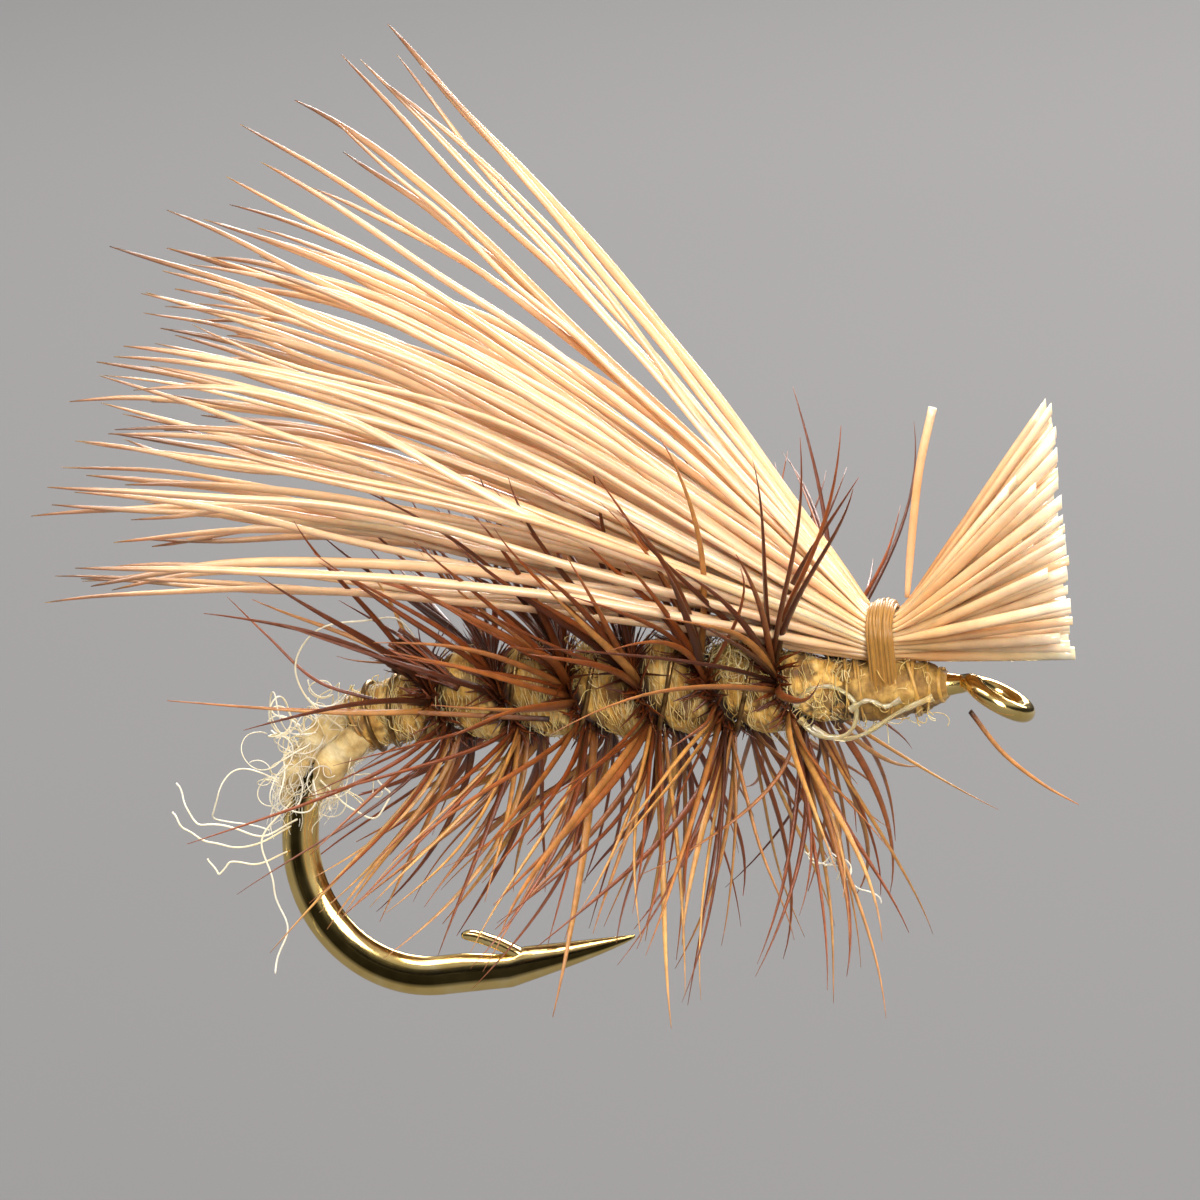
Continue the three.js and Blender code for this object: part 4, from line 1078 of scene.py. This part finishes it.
# -------- loose ends
def make_loose_fibres():
    """Single fibres that stray from the dressing, each along its own line, and lint."""
    lines = (
        # A long fibre that hangs from the tail dubbing, and short curls behind it.
        [(-9.55, -0.35, -0.9), (-9.95, -0.5, -1.35), (-9.85, -0.55, -2.0), (-9.75, -0.5, -2.6),
         (-9.98, -0.45, -3.2)],
        [(-9.5, -0.3, -1.15), (-10.0, -0.35, -1.35), (-10.5, -0.3, -1.2), (-10.9, -0.3, -1.15),
         (-11.05, -0.25, -0.85), (-11.15, -0.25, -0.6)],
        [(-9.6, -0.2, -1.25), (-10.2, -0.2, -1.5), (-10.7, -0.25, -1.42), (-11.05, -0.3, -1.2),
         (-11.2, -0.3, -0.95)],
        [(-9.7, -0.2, -1.6), (-10.1, -0.2, -1.75), (-10.45, -0.25, -1.7), (-10.65, -0.2, -1.85),
         (-10.8, -0.2, -1.65)],
        # A wide loop that stands over the rear of the body.
        [(-8.75, -0.40, 0.05), (-9.15, -0.6, 0.5), (-9.25, -0.7, 1.0), (-8.95, -0.72, 1.4),
         (-8.4, -0.7, 1.55), (-7.9, -0.6, 1.5), (-7.6, -0.5, 1.2)],
        # A loop under the rear of the body.
        [(-9.1, -0.5, -0.6), (-8.7, -0.6, -1.0), (-8.35, -0.6, -1.12), (-8.15, -0.6, -0.85),
         (-8.35, -0.55, -0.6)],
    )
    rng = seeded("loose fibres")
    count, stations = len(lines), 64
    points = np.concatenate([through(line, stations) for line in lines])
    points = points + waver(rng, count, stations, 0.03, 5)
    dress(strands("loose_fibres", points, 0.026, 8, tone=rng.uniform(0, 0.4, count)), curl_look, "dubbing")

    # Lint caught on the front hackle.
    start = [(-2.55, -1.0, -1.75), (-2.30, -1.0, -1.95), (-2.15, -1.0, -2.15), (-2.2, -1.05, -1.7),
             (-1.95, -1.0, -2.0)]
    way = [(1, 0, -0.5), (1, 0.1, 0.1), (0.6, 0, 0.8), (0.3, 0.1, -1), (-0.4, 0, -1.0)]
    lint = wandering(rng, start, way, 34, 0.022, 0.14, pull=0.05)
    dress(strands("lint", lint, 0.020, 6, tone=0.0), curl_look, "dubbing")


def make_stray_barbs():
    """Barbs that lie out of order: one along the body, one under the eye and two at the stub."""
    lines = (
        [(-5.9, -0.62, 0.10), (-7.6, -0.72, 0.28), (-9.4, -0.8, 0.42), (-11.0, -0.85, 0.62)],
        [(-0.35, -0.2, -0.12), (0.1, -0.55, -0.62), (0.62, -0.75, -1.02), (1.12, -0.9, -1.30)],
        [(-7.55, -0.42, 0.55), (-7.75, -0.5, 1.2), (-7.95, -0.5, 1.75), (-8.2, -0.5, 2.2)],
        [(-8.2, -0.4, 0.4), (-9.0, -0.6, 0.75), (-9.6, -0.7, 1.4), (-10.1, -0.7, 1.95)],
    )
    points = np.concatenate([through(line, 30) for line in lines])
    widths = np.array([0.075, 0.078, 0.075, 0.05])[:, None] * (1 - 0.85 * steps(30) ** 2)
    piece = strands("stray_barbs", points, widths, 8, UP + 0.2 * ACROSS, 0.45, [0.35, 0.25, 0.0, 0.5])
    dress(piece, barb_look, "hackle")


make_hook()
make_barb()
make_body()
make_body_fur()
make_tufts()
make_tail()
make_tail_fur()
make_rib()
make_rear_thread()
for turn_index in range(HACKLE_TURNS):
    make_hackle_turn(turn_index)
    make_down(turn_index)
make_stub()
make_wing()
make_stray_hair()
make_band()
make_shank_thread()
make_head()
make_loops()
make_loose_fibres()
make_stray_barbs()


# -------- studio, in metres
FLOOR_BELOW_EYE = 0.015
FLOOR_RADIUS = 0.36
CAMERA_ELEVATION = 9 * DEG
CAMERA_ROLL = 4.6 * DEG
CAMERA_DISTANCE = 0.15
TARGET = Vector((-0.005225, 0, 0.001559))


def make_floor():
    mesh = bpy.data.meshes.new("studio_floor")
    angle = ring_angles(96)
    x, y = np.cos(angle) * FLOOR_RADIUS, np.sin(angle) * FLOOR_RADIUS
    rim = np.stack([x, y, np.full(len(angle), -FLOOR_BELOW_EYE)], -1)
    mesh.from_pydata(rim.tolist(), [], [list(range(len(rim)))])
    look = Look("studio_paper")
    look.colour(look.ramp(look.noise(14, 2), [(0.3, 0.094, 0.0925, 0.094), (0.7, 0.097, 0.0955, 0.097)]))
    mesh.materials.append(look.finish(Roughness=0.95))
    add_object("studio_floor", mesh)


def make_light(name, place, size, watts, colour):
    """A soft rectangular lamp that faces the fly."""
    lamp = bpy.data.lights.new(name, "AREA")
    lamp.shape = "RECTANGLE"
    lamp.size, lamp.size_y = size
    lamp.energy = watts
    lamp.color = colour
    made = add_object(name, lamp)
    made.location = place
    made.rotation_euler = (TARGET - Vector(place)).to_track_quat("-Z", "Y").to_euler()


def make_world():
    """A soft room: bright above, dim at eye level."""
    world = bpy.data.worlds.new("studio")
    bpy.context.scene.world = world
    world.use_nodes = True
    room = Nodes(world.node_tree)
    split = room.node("ShaderNodeSeparateXYZ")
    span = room.node("ShaderNodeMapRange", **{"From Min": -1})
    room.link(room.node("ShaderNodeTexCoord").outputs["Generated"], split.inputs["Vector"])
    room.link(split.outputs["Z"], span.inputs["Value"])
    levels = ((0.0, 0.30), (0.46, 0.20), (0.49, 0.03), (0.66, 0.04), (0.75, 0.62), (1.0, 0.95))
    light = room.ramp(span.outputs["Result"], [(at, level, level, level * 1.02) for at, level in levels])
    background = world.node_tree.nodes["Background"]
    room.link(light, background.inputs["Color"])
    background.inputs["Strength"].default_value = 0.75


def make_camera():
    level = math.cos(CAMERA_ELEVATION)
    towards = Vector((math.sin(CAMERA_AZIMUTH) * level, -math.cos(CAMERA_AZIMUTH) * level,
                      math.sin(CAMERA_ELEVATION)))
    lens = bpy.data.cameras.new("camera")
    lens.angle = 6.05 * DEG
    lens.clip_start = 0.005
    lens.clip_end = 3
    camera = add_object("camera", lens)
    turn = (-towards).to_track_quat("-Z", "Y").to_matrix() @ Matrix.Rotation(-CAMERA_ROLL, 3, "Z")
    camera.matrix_world = Matrix.Translation(TARGET + towards * CAMERA_DISTANCE) @ turn.to_4x4()
    bpy.context.scene.camera = camera


make_floor()
make_world()
make_light("key", (-0.08, -0.15, 0.30), (0.22, 0.16), 1.55, (1.0, 0.97, 0.94))
make_light("back", (0.05, 0.26, 0.16), (0.24, 0.12), 1.7, (1.0, 0.98, 0.95))
make_light("front", (0.14, -0.26, 0.09), (0.14, 0.14), 1.2, (1.0, 0.96, 0.92))
make_camera()
bpy.context.scene.view_settings.view_transform = "Standard"
